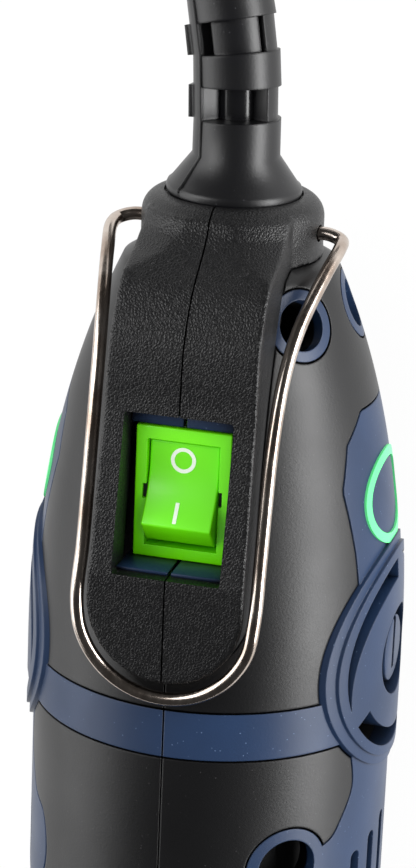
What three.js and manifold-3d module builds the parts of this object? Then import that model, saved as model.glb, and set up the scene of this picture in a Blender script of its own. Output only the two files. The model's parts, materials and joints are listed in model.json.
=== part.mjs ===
// Rotary tool with its mains lead, lying on a table with the switch up.
// Millimetres. +X points to the tool's nose, +Z up, and Y = 0 is the joint between the two body halves.
// A station is a distance forward from the rear face. Heights are from the tool's axis.

import * as THREE from 'three';
import { mergeVertices } from 'three/addons/utils/BufferGeometryUtils.js';
import Module from 'manifold-3d';

// Body outline
const bodyRadius = 29;
const neckRadius = 14.1;
const neckLength = 9;
const neckRound = 3.3;           // rounding of its rear end
const shoulderRadius = 16.5;     // where the shoulder starts, just ahead of the neck
const shoulderLength = 65;       // from the neck to the blue band
const shoulderPower = 2.4;       // how quickly the shoulder fills out
const bandWidth = 7.7;
const barrelLength = 30;         // straight grip ahead of the band
const noseTaperLength = 55;
const noseRadius = 19.4;
const noseLength = 10;
const edgeRound = 1.3;
const restFlatDepth = 0.6;       // depth of the flat that the tool lies on

// Walls and clearances
const skin = 2.2;                // soft overmould over the hard shell
const wall = 2.4;
const gap = 0.3;                 // clearance where one piece meets another
const split = 0.3;               // gap between the two halves
const sides = 28;                // faces round the body
const innerSides = 16;           // faces round what is inside it
const bossSides = 8;             // faces round the screw bosses and the lead's bore

// Switch pod and switch
const podHeight = 3.1;           // how far the pod stands above the body
const podStart = 5;
const podHalfWidth = 12.3;
const podRearHalfWidth = 11.4;
const podEndBehindBand = 17.5;   // centre of its round end behind the band's rear edge
const podBevel = 1.3;
const switchBehindBand = 33;     // switch's middle behind the band's rear edge
const switchDepth = 3.24;        // bezel's face below the body's outline
const bezelLength = 21;
const bezelWidth = 15;
const bezelThick = 1.5;
const switchBodyLength = 19;
const switchBodyWidth = 13;
const switchBodyDepth = 13.5;
const recessLength = 24.4;
const recessWidth = 17;
const recessShift = -1.2;        // the recess starts a little further back than the bezel
const rockerWidth = 11;
const rockerReach = 7.9;         // radius of its ends about the pivot
const rockerPivotDepth = 2.9;    // below the bezel's face
// Rocker's top from its pivot: off face nearly level, on face raised, then its front face
const rockerTop = [[-7.65, 1.9], [-3.2, 2], [-1, 2.6], [4.2, 6.1], [7.35, 2.9]];
const rockerDepth = 3.6;
const terminalLength = 7;
const terminalWidth = 4.8;
const terminalThick = 0.8;
const terminalPlaces = [-6.4, 1.6];   // from the switch's middle

// Side vents and panels
const ventBehindBand = 3.5;
const ventRadius = 18.8;
const ventRise = 0.6;
const ventSlotOuter = 15.7;
const ventSlotInner = 12.4;
const ventSlotSweep = 108;       // degrees, out of the 120 between one crescent and the next
const ventSlotStart = 4;         // degrees
const ventDepth = 18;            // distance of the openings' inner ends from the middle
const brushCapRadius = 7;
const brushCapFloor = 23.4;      // distance of the cap's inner end from the axis
const brushCapSink = 0.4;        // its face below the body's radius
const brushBossWall = 3.6;
const shoulderVentStation = 16.5;
const shoulderVentRadius = 3.9;
const shoulderVentRim = 1.6;
const shoulderVentAngles = [50, 100, 150, -100, -150];   // from the top, towards the right
const gripVentAhead = 19.3;      // ahead of the band's front edge
const gripVentAngle = 41;
const gripVentRadius = 4.9;
const gripVentRim = 1.9;
// Upper edge of the blue side panel: station from the vent's middle, height
const panelEdge = [
  [-40.5, 6.3], [-36.5, 10.9], [-29.8, 13.4], [-19.8, 12.3], [-13.5, 11.9], [13.5, 12.4], [19.5, 11.7],
  [24.4, 13.8], [27.1, 15.5], [29, 18.2], [36, 19.4], [45, 17], [58.5, 13.5], [68.5, 7.5]];
const louvreCount = 5;
const louvrePitch = 5;
const louvreWidth = 2.2;
const louvreAhead = 17.3;        // ahead of the band's front edge
const louvreLength = 31;
const louvreSlants = [0.3, 0.5]; // how much shorter each is at its ends, per mm off the middle

// Motor and spindle
const shaftRadius = 4;
const spindleRadius = 6.2;
const rearBearingBehind = 20;    // behind the band's rear edge
const rearBearingWidth = 6;
const rearBearingRadius = 9.5;
const bearingBootWall = 3.2;
const frontBearingBehind = 16.7; // behind the nose's start
const frontBearingWidth = 8;
const frontBearingRadius = 13;
const frontJournalRadius = 5;
const webWall = 0.6;             // web beyond each side of its bearing
const commutatorRadius = 11;
const commutatorLength = 10.5;
const statorRadius = 22;
const statorBore = 14;
const statorAhead = 13;          // ahead of the band's rear edge
const statorLength = 30;
const armatureRadius = 13.4;
const armatureSlots = 12;
const armatureSlotFloor = 8;
const armatureSlotWidth = 3;
const windingRadius = 12.5;
const windingOverhang = 6.5;
const coilHalfWidth = 11;
const poleHalfWidth = 7.2;
const coilThick = 3.1;
const coilOverhang = 4.5;
const fanRadius = 17.4;
const fanBehind = 19.5;          // behind the front bearing
const fanLength = 9;
const fanBladeCount = 9;
const brushWidth = 8;
const brushThick = 5;
const holderWall = 0.9;
const brushLength = 9.5;
const brushHolderInner = 13;     // distance of the holder's inner end from the axis

// Nose, collet and lock
const collarRadius = 10.8;
const collarLength = 9;
const noseBore = 8.5;
const capRadius = 14;
const capLength = 12;
const spindleThreadRadius = 4.6;
const spindleThreadLength = 12;
const colletRadius = 2.9;
const colletBore = 1.6;
const colletReach = 6;           // how far it stands out of the spindle
const nutRadius = 7;
const nutLength = 13;
const lockTravel = 3;
const lockPinRadius = 1.3;
const lockButtonRadius = 4.2;
const lockSeatDepth = 5;         // spring's seat below the nose's surface
const lockRise = 1.8;
const lockClearance = 1.2;       // pin above the spindle at rest

// Speed dial and its board
const dialBehindBand = 40;
const dialRadius = 10;
const dialWidth = 5;
const dialRise = 1.2;
const dialTeeth = 12;
const dialShaftRadius = 2.5;
const boardThick = 1.6;
const boardLength = 17.6;
const boardHeight = 17;
const boardBehindDial = 8;
const capacitorLength = 12;
const capacitorWidth = 6.5;
const capacitorHeight = 11;

// Housing screws
const screwRadius = 1.5;
const screwHeadRadius = 2.7;
const screwHeadHeight = 2.2;
const screwLength = 14;
const screwSeat = 8;             // distance of the head's seat from the split
const bossWall = 1.3;

// Hanging bail
const wireRadius = 1.05;
const bailStation = 5;
const bailHeight = 1;            // pivot above the tool's axis
const bailHoleDepth = 3.1;       // in the neck's side
const bailOut = 1.6;             // wire's axis outside the pod's side
const bailRise = 1.5;            // bend above the body's radius
const bailAhead = 1;             // bend's centre ahead of the pod's
const bailSides = 8;
const bailSteps = 36;
// Bail's foot from its pivot: station, distance outside the neck, height
const bailFoot = [[0, -1.7, 0], [0, 1.5, 0.1], [0.6, 3.6, 0.8], [1.2, 4, 3.6]];
// Bail's leg when folded down: station, distance beyond bailOut, height above the body's outline
const bailLeg = [
  [9, 3.3, -4.9], [16, 1.4, -2], [22.8, 0.5, -0.3], [31.8, 0.1, 0.1], [40.7, 0, 0.1], [49.7, 0, 0.5]];

// Strain relief and lead
const cordRadius = 3.3;
const cordSides = 8;
const leadSteps = 26;            // rings of the swept tube, about every two of its diameters or closer
const bootFlangeRadius = 10.45;
const bootFlangeThick = 1.5;
const bootSink = 0.35;           // flange let into the rear face
const bootRadius = 6.7;
const bootConeLength = 4.4;
const bootNeckRadius = 5.9;
const bootEndWall = 2;
const bootInnerFlange = 8.6;
const bootInnerThick = 1.9;
const bootPitch = 5;             // length of each ring and of each slot
const bootFirstRing = 5.6;
const bootRings = 3;
const bootTaper = 0.15;          // each ring is smaller than the last by this
const bootSpine = [10.4, 0];     // left bridge: width, depth below the rings
const bootRearBridge = [6.2, 0.5];
const bootFrontBridge = [-2.2, 4.9];   // its left and right edges
const bootFrontDepth = 0.9;
const clampBehindBoard = 1.7;
const clampLength = 6;
const clampHalfHeight = 7.8;
const clampThick = 5.3;
const clampScrewHeight = 5.7;
const clampScrewRadius = 1.2;
const clampHeadRadius = 2.2;
const clampScrewLength = 6;      // into the right shell
const hankLift = 1;              // the tie passes under the hank
const hankRun = 118;             // straight part between the folds
const hankTurnsPerLayer = 1.75;
const hankInnerRadius = 21.6;
const hankPitch = 7.1;
const hankStepsPerTurn = 24;
const tieThick = 0.7;
const tieWidth = 12;
const plugRadius = 17.6;
const plugLength = 38;
const plugRimStart = 30;
const plugRimRound = 1.5;
// Plug's neck: distance from the lead's end, radius
const plugNeck = [[0, 4.6], [9, 5.6], [13, 8.6], [19, 11.5], [27, 13]];
const pinSocketDepth = 6;
const pinRadius = 2.4;
const pinLength = 19;
const pinPitch = 19;

// Places worked out from the sizes above
const bandStation = neckLength + 1 + shoulderLength;
const bandEnd = bandStation + bandWidth;
const barrelEnd = bandEnd + barrelLength;
const noseStart = barrelEnd + noseTaperLength;
const bodyLength = noseStart + noseLength;
const switchStation = bandStation - switchBehindBand;
const podEndCentre = bandStation - podEndBehindBand;
const dialStation = bandStation - dialBehindBand;
const clampStation = dialStation - boardBehindDial - clampBehindBoard - clampLength;
const ventStation = bandStation - ventBehindBand;
const gripVentStation = bandEnd + gripVentAhead;
const louvreStart = bandEnd + louvreAhead;
const louvreEnd = louvreStart + louvreLength;
const rearBearingStation = bandStation - rearBearingBehind;
const frontBearingStation = noseStart - frontBearingBehind;
const statorStation = bandStation + statorAhead;
const fanStation = frontBearingStation - fanBehind;
const lockStation = noseStart + noseLength / 2;
const spindleEnd = bodyLength + capLength + spindleThreadLength;
const tipStation = spindleEnd + colletReach;
const rearX = -tipStation / 2;
const axisZ = bodyRadius - restFlatDepth;
const statorEnd = statorStation + statorLength;
const switchTop = outerRadius(switchStation) - switchDepth;
const switchFloor = switchTop - bezelThick - gap;
const lockSeat = noseRadius - lockSeatDepth;
// Pod's crown: station, height above the body's outline
const podRise = [
  [podStart, 2.2], [podStart + 5.9, 5.1], [podStart + 12.7, 5.6], [switchStation - 14.4, 3.3],
  [switchStation, 2.5], [podEndCentre - 4.2, podHeight]];
// Housing screws: name, station, height
const screwPlaces = [
  ['rear_lower', neckLength + 5, -11.2], ['rear_middle', bandStation - 25.5, -1],
  ['front_upper', barrelEnd + 33.3, 13.5], ['front_lower', barrelEnd + 33.3, -13.5],
  ['nose_lower', noseStart + 5.3, -11.2]];
const rad = Math.PI / 180;
const far = bodyRadius * 2;

// ---- Geometry helpers. Solids are built with the rear face at X = 0 and the tool's axis on X.

const wasm = await Module();
wasm.setup();

function solid(geometry) {
  const bare = geometry.index ? geometry.toNonIndexed() : geometry.clone();
  for (const name of Object.keys(bare.attributes)) if (name !== 'position') bare.deleteAttribute(name);
  const merged = mergeVertices(bare, 1e-4);
  const at = merged.attributes.position.array;
  const index = merged.index.array;
  const kept = [];
  let volume = 0;
  for (let i = 0; i < index.length; i += 3) {
    const [a, b, c] = [index[i], index[i + 1], index[i + 2]];
    if (a === b || b === c || c === a) continue;
    kept.push(a, b, c);
    const [p, q, r] = [a, b, c].map((k) => new THREE.Vector3(at[3 * k], at[3 * k + 1], at[3 * k + 2]));
    volume += p.dot(q.cross(r));
  }
  if (volume < 0) for (let i = 0; i < kept.length; i += 3) [kept[i], kept[i + 1]] = [kept[i + 1], kept[i]];
  return new wasm.Manifold(new wasm.Mesh({
    numProp: 3, vertProperties: new Float32Array(at), triVerts: new Uint32Array(kept) }));
}

const join = (...parts) => parts.reduce((a, b) => a.add(b));
const cut = (body, ...tools) => tools.reduce((a, b) => a.subtract(b), body);
const common = (...parts) => parts.reduce((a, b) => a.intersect(b));

function toGeometry(body) {
  const mesh = body.getMesh();
  const geometry = new THREE.BufferGeometry();
  geometry.setAttribute('position', new THREE.BufferAttribute(new Float32Array(mesh.vertProperties), 3));
  geometry.setIndex(new THREE.BufferAttribute(new Uint32Array(mesh.triVerts), 1));
  return geometry;
}

// A shape turned about X, Y or Z from [distance along the axis, radius] points.
function turned(points, count = sides, axis = 'x', at = [0, 0, 0]) {
  const geometry = new THREE.LatheGeometry(points.map(([along, r]) => new THREE.Vector2(r, along)), count);
  if (axis === 'x') geometry.rotateZ(-Math.PI / 2);
  if (axis === 'z') geometry.rotateX(Math.PI / 2);
  return solid(geometry.translate(...at));
}

const disc = (from, to, r, count = sides, axis = 'x', at = [0, 0, 0]) =>
  turned([[from, 0], [from, r], [to, r], [to, 0]], count, axis, at);

const ring = (from, to, inner, outer, count = sides, axis = 'x', at = [0, 0, 0]) =>
  turned([[from, inner], [from, outer], [to, outer], [to, inner], [from, inner]], count, axis, at);

// A flat outline pulled along an axis: seen from above for 'z', from the side as [X, Z] for 'y',
// and from the nose as [Y, Z] for 'x'.
function pulled(outline, from, to, axis = 'z') {
  const shape = new THREE.Shape(outline.map(([a, b]) => new THREE.Vector2(a, b)));
  const geometry = new THREE.ExtrudeGeometry(shape, { depth: to - from, bevelEnabled: false });
  const [X, Y, Z] = [new THREE.Vector3(1, 0, 0), new THREE.Vector3(0, 1, 0), new THREE.Vector3(0, 0, 1)];
  if (axis === 'x') geometry.applyMatrix4(new THREE.Matrix4().makeBasis(Y, Z, X)).translate(from, 0, 0);
  if (axis === 'y') {
    geometry.applyMatrix4(new THREE.Matrix4().makeBasis(X, Z, Y.clone().negate())).translate(0, to, 0);
  }
  if (axis === 'z') geometry.translate(0, 0, from);
  return solid(geometry);
}

function block(x0, x1, y0, y1, z0, z1) {
  const geometry = new THREE.BoxGeometry(x1 - x0, y1 - y0, z1 - z0);
  return solid(geometry.translate((x0 + x1) / 2, (y0 + y1) / 2, (z0 + z1) / 2));
}

const circle = (cx, cy, r, count = 24) => Array.from({ length: count }, (_, i) => {
  const a = 2 * Math.PI * i / count;
  return [cx + r * Math.cos(a), cy + r * Math.sin(a)];
});

// An outline moved outwards by an even margin.
function grown(outline, margin) {
  const count = outline.length;
  const area = outline.reduce((sum, [x, y], i) => {
    const [u, v] = outline[(i + 1) % count];
    return sum + x * v - u * y;
  }, 0);
  const turn = Math.sign(area);
  return outline.map(([x, y], i) => {
    const [px, py] = outline[(i + count - 1) % count];
    const [qx, qy] = outline[(i + 1) % count];
    const before = new THREE.Vector2(y - py, px - x).normalize();
    const after = new THREE.Vector2(qy - y, x - qx).normalize();
    const mid = before.clone().add(after).normalize();
    const reach = turn * margin / Math.max(0.4, mid.dot(after));
    return [x + mid.x * reach, y + mid.y * reach];
  });
}

const mirrored = (outline) => [...outline, ...outline.map(([x, y]) => [x, -y]).reverse()];

// A pin or hole that stands square to the body's surface.
function squareTo(station, angle, radius, inner, outer, count = 8) {
  const surface = outerRadius(station);
  const slope = Math.atan2(outerRadius(station + 1) - outerRadius(station - 1), 2);
  const pin = new THREE.CylinderGeometry(radius, radius, outer - inner, count);
  pin.translate(0, (inner + outer) / 2, 0).rotateZ(slope).translate(station, surface, 0);
  return solid(pin.rotateX((90 - angle) * rad));
}

// A tube of even section along a path.
function tube(curve, radius, count, steps) {
  const section = new THREE.Shape(circle(0, 0, radius, count).map(([a, b]) => new THREE.Vector2(a, b)));
  return solid(new THREE.ExtrudeGeometry(section, { steps, bevelEnabled: false, extrudePath: curve }));
}

// ---- Body outline

function outerRadius(station) {
  const start = neckLength + 1;
  if (station <= neckLength) return neckRadius;
  if (station < start) return neckRadius + (shoulderRadius - neckRadius) * (station - neckLength);
  if (station < bandStation) {
    const left = 1 - (station - start) / shoulderLength;
    return bodyRadius - (bodyRadius - shoulderRadius) * left ** shoulderPower;
  }
  if (station < barrelEnd) return bodyRadius;
  const along = Math.min(1, (station - barrelEnd) / noseTaperLength);
  return bodyRadius - (bodyRadius - noseRadius) * (0.5 - 0.5 * Math.cos(Math.PI * along));
}

const spread = (from, to, count) =>
  Array.from({ length: count + 1 }, (_, i) => from + (to - from) * i / count);

const bodyStations = [
  neckLength, neckLength + 1, neckLength + 4, ...spread(neckLength + 9, bandStation, 3),
  ...spread(barrelEnd, noseStart, 3)];

// The body's outline, drawn in by a depth all along.
function bodySolid(depth, from = 0, to = bodyLength) {
  const stations = [from, ...bodyStations.filter((s) => s > from + 0.5 && s < to - 0.5), to];
  const points = stations.map((s) => [s, outerRadius(s) - depth]);
  if (from === 0) {
    const corner = neckRadius - depth - neckRound;
    points.splice(0, 1, ...[0, 45, 90].map((a) => [
      neckRound * (1 - Math.cos(a * rad)), corner + neckRound * Math.sin(a * rad)]));
  }
  if (to === bodyLength) {
    points.splice(-1, 1, [to - edgeRound, noseRadius - depth], [to, noseRadius - depth - edgeRound]);
  }
  const count = depth > 0 ? innerSides : sides;
  return turned([[points[0][0], 0], ...points, [to, 0]], count);
}

// Blue side panel, seen from the side: badge panel behind the vent, louvre panel ahead of it.
function panelOutline() {
  return mirrored(panelEdge.map(([station, height]) => [ventStation + station, height]));
}

// Everything that is blue on the outside, as a region that reaches through the body.
function blueRegion(margin) {
  const region = [
    pulled(grown(panelOutline(), margin), -far, far, 'y'),
    pulled(circle(ventStation, 0, ventRadius + margin), -far, far, 'y'),
    disc(bandStation - margin, bandEnd + margin, far),
    disc(noseStart - margin, bodyLength + 1, far),
    squareTo(gripVentStation, gripVentAngle, gripVentRadius + gripVentRim + margin, -6, 6)];
  for (const angle of shoulderVentAngles) {
    region.push(squareTo(shoulderVentStation, angle, shoulderVentRadius + shoulderVentRim + margin, -5, 5));
  }
  return join(...region);
}

// A crescent that narrows to a point, seen from the side.
function crescent(startAngle) {
  const steps = 4;
  const outer = [];
  const inner = [];
  for (let i = 0; i <= steps; i++) {
    const share = i / steps;
    const angle = (startAngle + ventSlotSweep * share) * rad;
    const innerRadius = ventSlotInner + (ventSlotOuter - ventSlotInner) * share ** 2.2;
    outer.push([ventStation - ventSlotOuter * Math.cos(angle), ventSlotOuter * Math.sin(angle)]);
    if (i < steps) inner.push([ventStation - innerRadius * Math.cos(angle), innerRadius * Math.sin(angle)]);
  }
  return [...outer, ...inner.reverse()];
}

const halfSpace = (side) => side > 0
  ? block(-far, bodyLength * 2, split / 2, far * 2, -far * 2, far * 2)
  : block(-far, bodyLength * 2, -far * 2, -split / 2, -far * 2, far * 2);

const aboveFloor = block(-far, bodyLength * 2, -far * 2, far * 2, -axisZ, far * 2);

// ---- Pieces of the housing

function podOutline() {
  const arc = spread(90, -90, 12).map((a) => [
    podEndCentre + podHalfWidth * Math.cos(a * rad), podHalfWidth * Math.sin(a * rad)]);
  return [[podStart, -podRearHalfWidth], [podStart, podRearHalfWidth], ...arc];
}

function podTop(drop) {
  const points = podRise.map(([station, rise]) => [station, outerRadius(station) + rise - drop]);
  return [...points, [podEndCentre + podHalfWidth + 1, bodyRadius + podHeight - drop]];
}

function switchPod(blue) {
  const crown = (drop) => {
    const top = podTop(drop);
    return pulled([[top[0][0], 0], ...top, [top[top.length - 1][0], 0]], -far, far, 'y');
  };
  const low = common(crown(podBevel), pulled(podOutline(), 0, far, 'z'));
  const high = common(crown(0), pulled(grown(podOutline(), -podBevel), 0, far, 'z'));
  const recessCentre = switchStation + recessShift;
  const recess = block(recessCentre - recessLength / 2, recessCentre + recessLength / 2,
    -recessWidth / 2, recessWidth / 2, 0, far);
  return cut(join(low, high), bodySolid(skin - gap, neckLength / 4), recess, blue);
}

function rearOvermould(blue) {
  const outer = bodySolid(0, 0, bandStation - gap);
  const podRoom = pulled(grown(podOutline(), gap), 0, far, 'z');
  const dialRoom = dialSlot();
  return cut(outer, bodySolid(skin - gap, bootEndWall), blue, podRoom, dialRoom,
    disc(-1, bootSink + gap, bootFlangeRadius + gap), disc(-1, bootEndWall * 2, bootNeckRadius + gap, 16),
    ...bailHoles(), ...screwHeadHoles());
}

function frontGrip(blue) {
  const outer = bodySolid(0, bandEnd + gap, noseStart - gap);
  return cut(outer, bodySolid(skin - gap), blue, ...screwHeadHoles());
}

const dialCentre = () => -(outerRadius(dialStation) + dialRise - dialRadius);

const dialSlot = () => block(dialStation - dialRadius - 0.6, dialStation + dialRadius + 0.6,
  -dialWidth / 2 - gap, dialWidth / 2 + gap, -far, dialCentre());

function bailHoles() {
  const from = neckRadius - bailHoleDepth;
  return [-1, 1].map((side) => disc(Math.min(side * from, side * far), Math.max(side * from, side * far),
    wireRadius + gap, bailSides, 'y', [bailStation, 0, bailHeight]));
}

const screwHeadHoles = () => screwPlaces.map(([, station, height]) =>
  disc(-far, -screwSeat, screwHeadRadius + gap, bossSides, 'y', [station, 0, height]));

const screwHoles = () => screwPlaces.map(([, station, height]) =>
  disc(-screwSeat - 1, screwLength - screwSeat + 1, screwRadius + gap, 6, 'y', [station, 0, height]));

// The hollow inside both shells: neck, rear cavity, bearing seats, stator seat, fan chamber and nose bore.
function cavity() {
  const depth = skin + wall;
  const rearWeb = rearBearingStation - webWall;
  const rearWebEnd = rearBearingStation + rearBearingWidth + webWall;
  const frontWeb = frontBearingStation - webWall;
  const frontWebEnd = frontBearingStation + frontBearingWidth + webWall;
  const bootRoom = rearBearingRadius + bearingBootWall + 2 * gap;
  const neckBore = neckRadius - depth;
  const points = [
    [0, 0], [0, bootNeckRadius + gap], [bootEndWall * 2 + gap, bootNeckRadius + gap],
    [bootEndWall * 2 + gap, neckBore], [neckLength + 2, neckBore]];
  for (const s of spread(neckLength + 5, rearWeb, 3)) points.push([s, outerRadius(s) - depth]);
  points.push([rearWeb, bootRoom], [rearWebEnd, bootRoom]);
  for (const s of [rearWebEnd, bandStation]) points.push([s, outerRadius(s) - depth]);
  points.push([statorStation - 2, bodyRadius - depth], [statorStation - 2, statorRadius + gap],
    [statorEnd + 2, statorRadius + gap]);
  for (const s of spread(statorEnd + 2, frontWeb, 2)) points.push([s, outerRadius(s) - depth]);
  points.push([frontWeb, frontBearingRadius + gap], [frontWebEnd, frontBearingRadius + gap],
    [frontWebEnd, noseBore], [bodyLength + collarLength + 1, noseBore], [bodyLength + collarLength + 1, 0]);
  return turned(points, innerSides);
}

function shell(side, blue) {
  const body = join(
    bodySolid(skin, bootEndWall + gap), common(bodySolid(0), blue),
    common(bodySolid(-ventRise), pulled(circle(ventStation, 0, ventRadius), -far, far, 'y')),
    ring(bodyLength - 1, bodyLength + collarLength, noseBore, collarRadius, innerSides));
  const panelHalf = bezelLength / 2 + 3;
  const inside = bodySolid(skin + 0.5);
  const fittings = [
    common(inside, block(switchStation - panelHalf, switchStation + panelHalf,
      -bezelWidth / 2 - 3, bezelWidth / 2 + 3, switchFloor - wall, far))];
  for (const [, station, height] of screwPlaces) {
    const boss = disc(-far, far, screwHeadRadius + bossWall, bossSides, 'y', [station, 0, height]);
    fittings.push(common(inside, boss));
  }
  const brushBoss = disc(brushCapFloor - wall, far, brushCapRadius + brushBossWall, 16, 'y',
    [ventStation, 0, 0]);
  fittings.push(common(bodySolid(-ventRise), join(brushBoss, brushBoss.mirror([0, 1, 0]))));
  if (side > 0) fittings.push(common(inside, block(clampStation, clampStation + clampLength,
    split, far, -clampHalfHeight, clampHalfHeight)));
  const holder = [brushWidth / 2 + holderWall + gap, brushThick / 2 + holderWall + gap];
  const cuts = [
    block(switchStation - bezelLength / 2 - gap, switchStation + bezelLength / 2 + gap,
      -bezelWidth / 2 - gap, bezelWidth / 2 + gap, switchFloor, far),
    block(switchStation - switchBodyLength / 2 - gap, switchStation + switchBodyLength / 2 + gap,
      -switchBodyWidth / 2 - gap, switchBodyWidth / 2 + gap, 0, far),
    dialSlot(), ...bailHoles(), ...screwHoles(), ...(side < 0 ? screwHeadHoles() : []),
    disc(clampStation - 5, clampStation + clampLength + 5, cordRadius + gap, 12),
    disc(lockSeat, far, lockButtonRadius + gap, 16, 'z', [lockStation, 0, 0]),
    disc(0, noseRadius, lockPinRadius + 2 * gap, 12, 'z', [lockStation, 0, 0]),
    disc(brushCapFloor, far, brushCapRadius + gap, 16, 'y', [ventStation, 0, 0]),
    disc(-far, -brushCapFloor, brushCapRadius + gap, 16, 'y', [ventStation, 0, 0]),
    block(ventStation - holder[0], ventStation + holder[0], -far, far, -holder[1], holder[1]),
    ...ventCuts()];
  if (side > 0) {
    for (const z of [-1, 1]) cuts.push(disc(0, clampScrewLength + 3, clampScrewRadius + gap, 10, 'y',
      [clampStation + clampLength / 2, 0, z * clampScrewHeight]));
  }
  return common(cut(cut(body, cavity()).add(join(...fittings)), ...cuts), halfSpace(side), aboveFloor);
}

function ventCuts() {
  const cuts = [];
  for (const start of [0, 120, 240].map((a) => a + ventSlotStart)) {
    cuts.push(pulled(crescent(start), ventDepth, far, 'y'), pulled(crescent(start), -far, -ventDepth, 'y'));
  }
  for (const angle of shoulderVentAngles) {
    cuts.push(squareTo(shoulderVentStation, angle, shoulderVentRadius, -7, 7));
  }
  cuts.push(squareTo(gripVentStation, gripVentAngle, gripVentRadius, -9, 7));
  for (let i = 0; i < louvreCount; i++) {
    const height = (i - (louvreCount - 1) / 2) * louvrePitch;
    const from = louvreStart + Math.abs(height) * louvreSlants[0];
    const to = louvreEnd - Math.abs(height) * louvreSlants[1];
    const [low, high] = [height - louvreWidth / 2, height + louvreWidth / 2];
    cuts.push(block(from, to, ventDepth, far, low, high), block(from, to, -far, -ventDepth, low, high));
  }
  return cuts;
}

// ---- Nose and spindle

function noseCap() {
  const [from, to, collarEnd] = [bodyLength + gap, bodyLength + capLength, bodyLength + collarLength + gap];
  return turned([
    [from, collarRadius + gap], [from, capRadius], [to - 1, capRadius], [to, capRadius - 1], [to, noseBore],
    [collarEnd, noseBore], [collarEnd, collarRadius + gap], [from, collarRadius + gap]], innerSides);
}

function armatureShaft() {
  const bearingEnd = frontBearingStation + frontBearingWidth;
  const shaft = turned([
    [rearBearingStation, 0], [rearBearingStation, shaftRadius], [frontBearingStation - 2, shaftRadius],
    [frontBearingStation - 2, frontJournalRadius], [bearingEnd + 1, frontJournalRadius],
    [bearingEnd + 1, spindleRadius],
    [bodyLength + capLength, spindleRadius], [bodyLength + capLength, spindleThreadRadius],
    [spindleEnd, spindleThreadRadius], [spindleEnd, colletRadius + gap],
    [bodyLength + capLength, colletRadius + gap], [bodyLength + capLength, 0]], 16);
  const across = lockPinRadius + gap;
  return cut(shaft, disc(-far, far, across, 8, 'z', [lockStation, 0, 0]),
    disc(-far, far, across, 8, 'y', [lockStation, 0, 0]));
}

function armatureCore() {
  const outline = [];
  for (let i = 0; i < armatureSlots; i++) {
    const middle = 360 * i / armatureSlots;
    const slotHalf = armatureSlotWidth / 2;
    const mouth = Math.asin(slotHalf / armatureRadius) / rad;
    const place = (r, a) => [r * Math.cos(a * rad), r * Math.sin(a * rad)];
    const floor = Math.hypot(armatureSlotFloor, slotHalf);
    const floorAngle = Math.atan2(slotHalf, armatureSlotFloor) / rad;
    outline.push(place(armatureRadius, middle - mouth), place(floor, middle - floorAngle),
      place(floor, middle + floorAngle), place(armatureRadius, middle + mouth),
      place(armatureRadius, middle + 180 / armatureSlots));
  }
  return cut(pulled(outline, statorStation, statorEnd, 'x'), disc(0, bodyLength, shaftRadius + gap, 24));
}

function armatureWinding() {
  const ends = [[statorStation - windingOverhang, statorStation - gap],
    [statorEnd + gap, statorEnd + windingOverhang]];
  const parts = ends.map(([from, to]) => ring(from, to, shaftRadius + 1, windingRadius, 16));
  const half = armatureSlotWidth / 2 - gap;
  const top = windingRadius - 2 * gap;
  const bar = block(statorStation - 1, statorEnd + 1, armatureSlotFloor + gap, top, -half, half);
  for (let i = 0; i < armatureSlots; i++) parts.push(bar.rotate([360 * i / armatureSlots, 0, 0]));
  return join(...parts);
}

function statorCore() {
  const ringBody = ring(statorStation, statorEnd, statorBore, statorRadius, innerSides);
  const pockets = [];
  for (const y of [-1, 1]) {
    for (const z of [-1, 1]) {
      const [y0, y1] = [poleHalfWidth, coilHalfWidth + gap].map((v) => v * y).sort((a, b) => a - b);
      const [z0, z1] = [0, statorBore + gap * 2 + coilThick + gap].map((v) => v * z).sort((a, b) => a - b);
      pockets.push(block(0, bodyLength, y0, y1, z0, z1));
    }
  }
  return cut(ringBody, ...pockets);
}

function fieldCoil(side) {
  const [low, high] = [statorBore + gap * 2, statorBore + gap * 2 + coilThick];
  const [from, to] = side > 0 ? [low, high] : [-high, -low];
  const outer = block(statorStation - coilOverhang, statorEnd + coilOverhang, -coilHalfWidth, coilHalfWidth,
    from, to);
  const inner = block(statorStation - gap, statorEnd + gap, -poleHalfWidth - gap, poleHalfWidth + gap,
    from - 1, to + 1);
  return cut(outer, inner);
}

function coolingFan() {
  const [from, to] = [fanStation, fanStation + fanLength];
  const parts = [
    ring(to - 1.6, to, shaftRadius + gap, fanRadius, innerSides),
    ring(from, to, shaftRadius + gap, shaftRadius + 3, innerSides)];
  const blade = block(from, to - 1, shaftRadius + 2, fanRadius - 0.6, -0.7, 0.7);
  for (let i = 0; i < fanBladeCount; i++) parts.push(blade.rotate([360 * i / fanBladeCount, 0, 0]));
  return join(...parts);
}

const commutator = () => ring(ventStation - commutatorLength / 2, ventStation + commutatorLength / 2,
  shaftRadius + gap, commutatorRadius, 24);

const collet = () => ring(bodyLength + capLength + gap, tipStation, colletBore, colletRadius, 20);

function colletNut() {
  const from = bodyLength + capLength + gap * 2;
  const hexEnd = from + nutLength * 0.6;
  const nut = turned([
    [from, spindleThreadRadius + gap], [from, nutRadius], [hexEnd, nutRadius], [hexEnd + 1, nutRadius - 1.2],
    [from + nutLength, nutRadius - 2], [from + nutLength, colletRadius + gap],
    [spindleEnd + gap, colletRadius + gap], [spindleEnd + gap, spindleThreadRadius + gap],
    [from, spindleThreadRadius + gap]], 18);
  const flatHalf = nutRadius * 0.92;
  const slab = block(from - 1, hexEnd, -flatHalf, flatHalf, -far, far);
  const flats = [0, 60, 120].map((a) => slab.rotate([a, 0, 0]));
  const hexagon = common(...flats);
  return common(nut, join(hexagon, disc(hexEnd - 0.01, from + nutLength + 1, far)));
}

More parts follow.
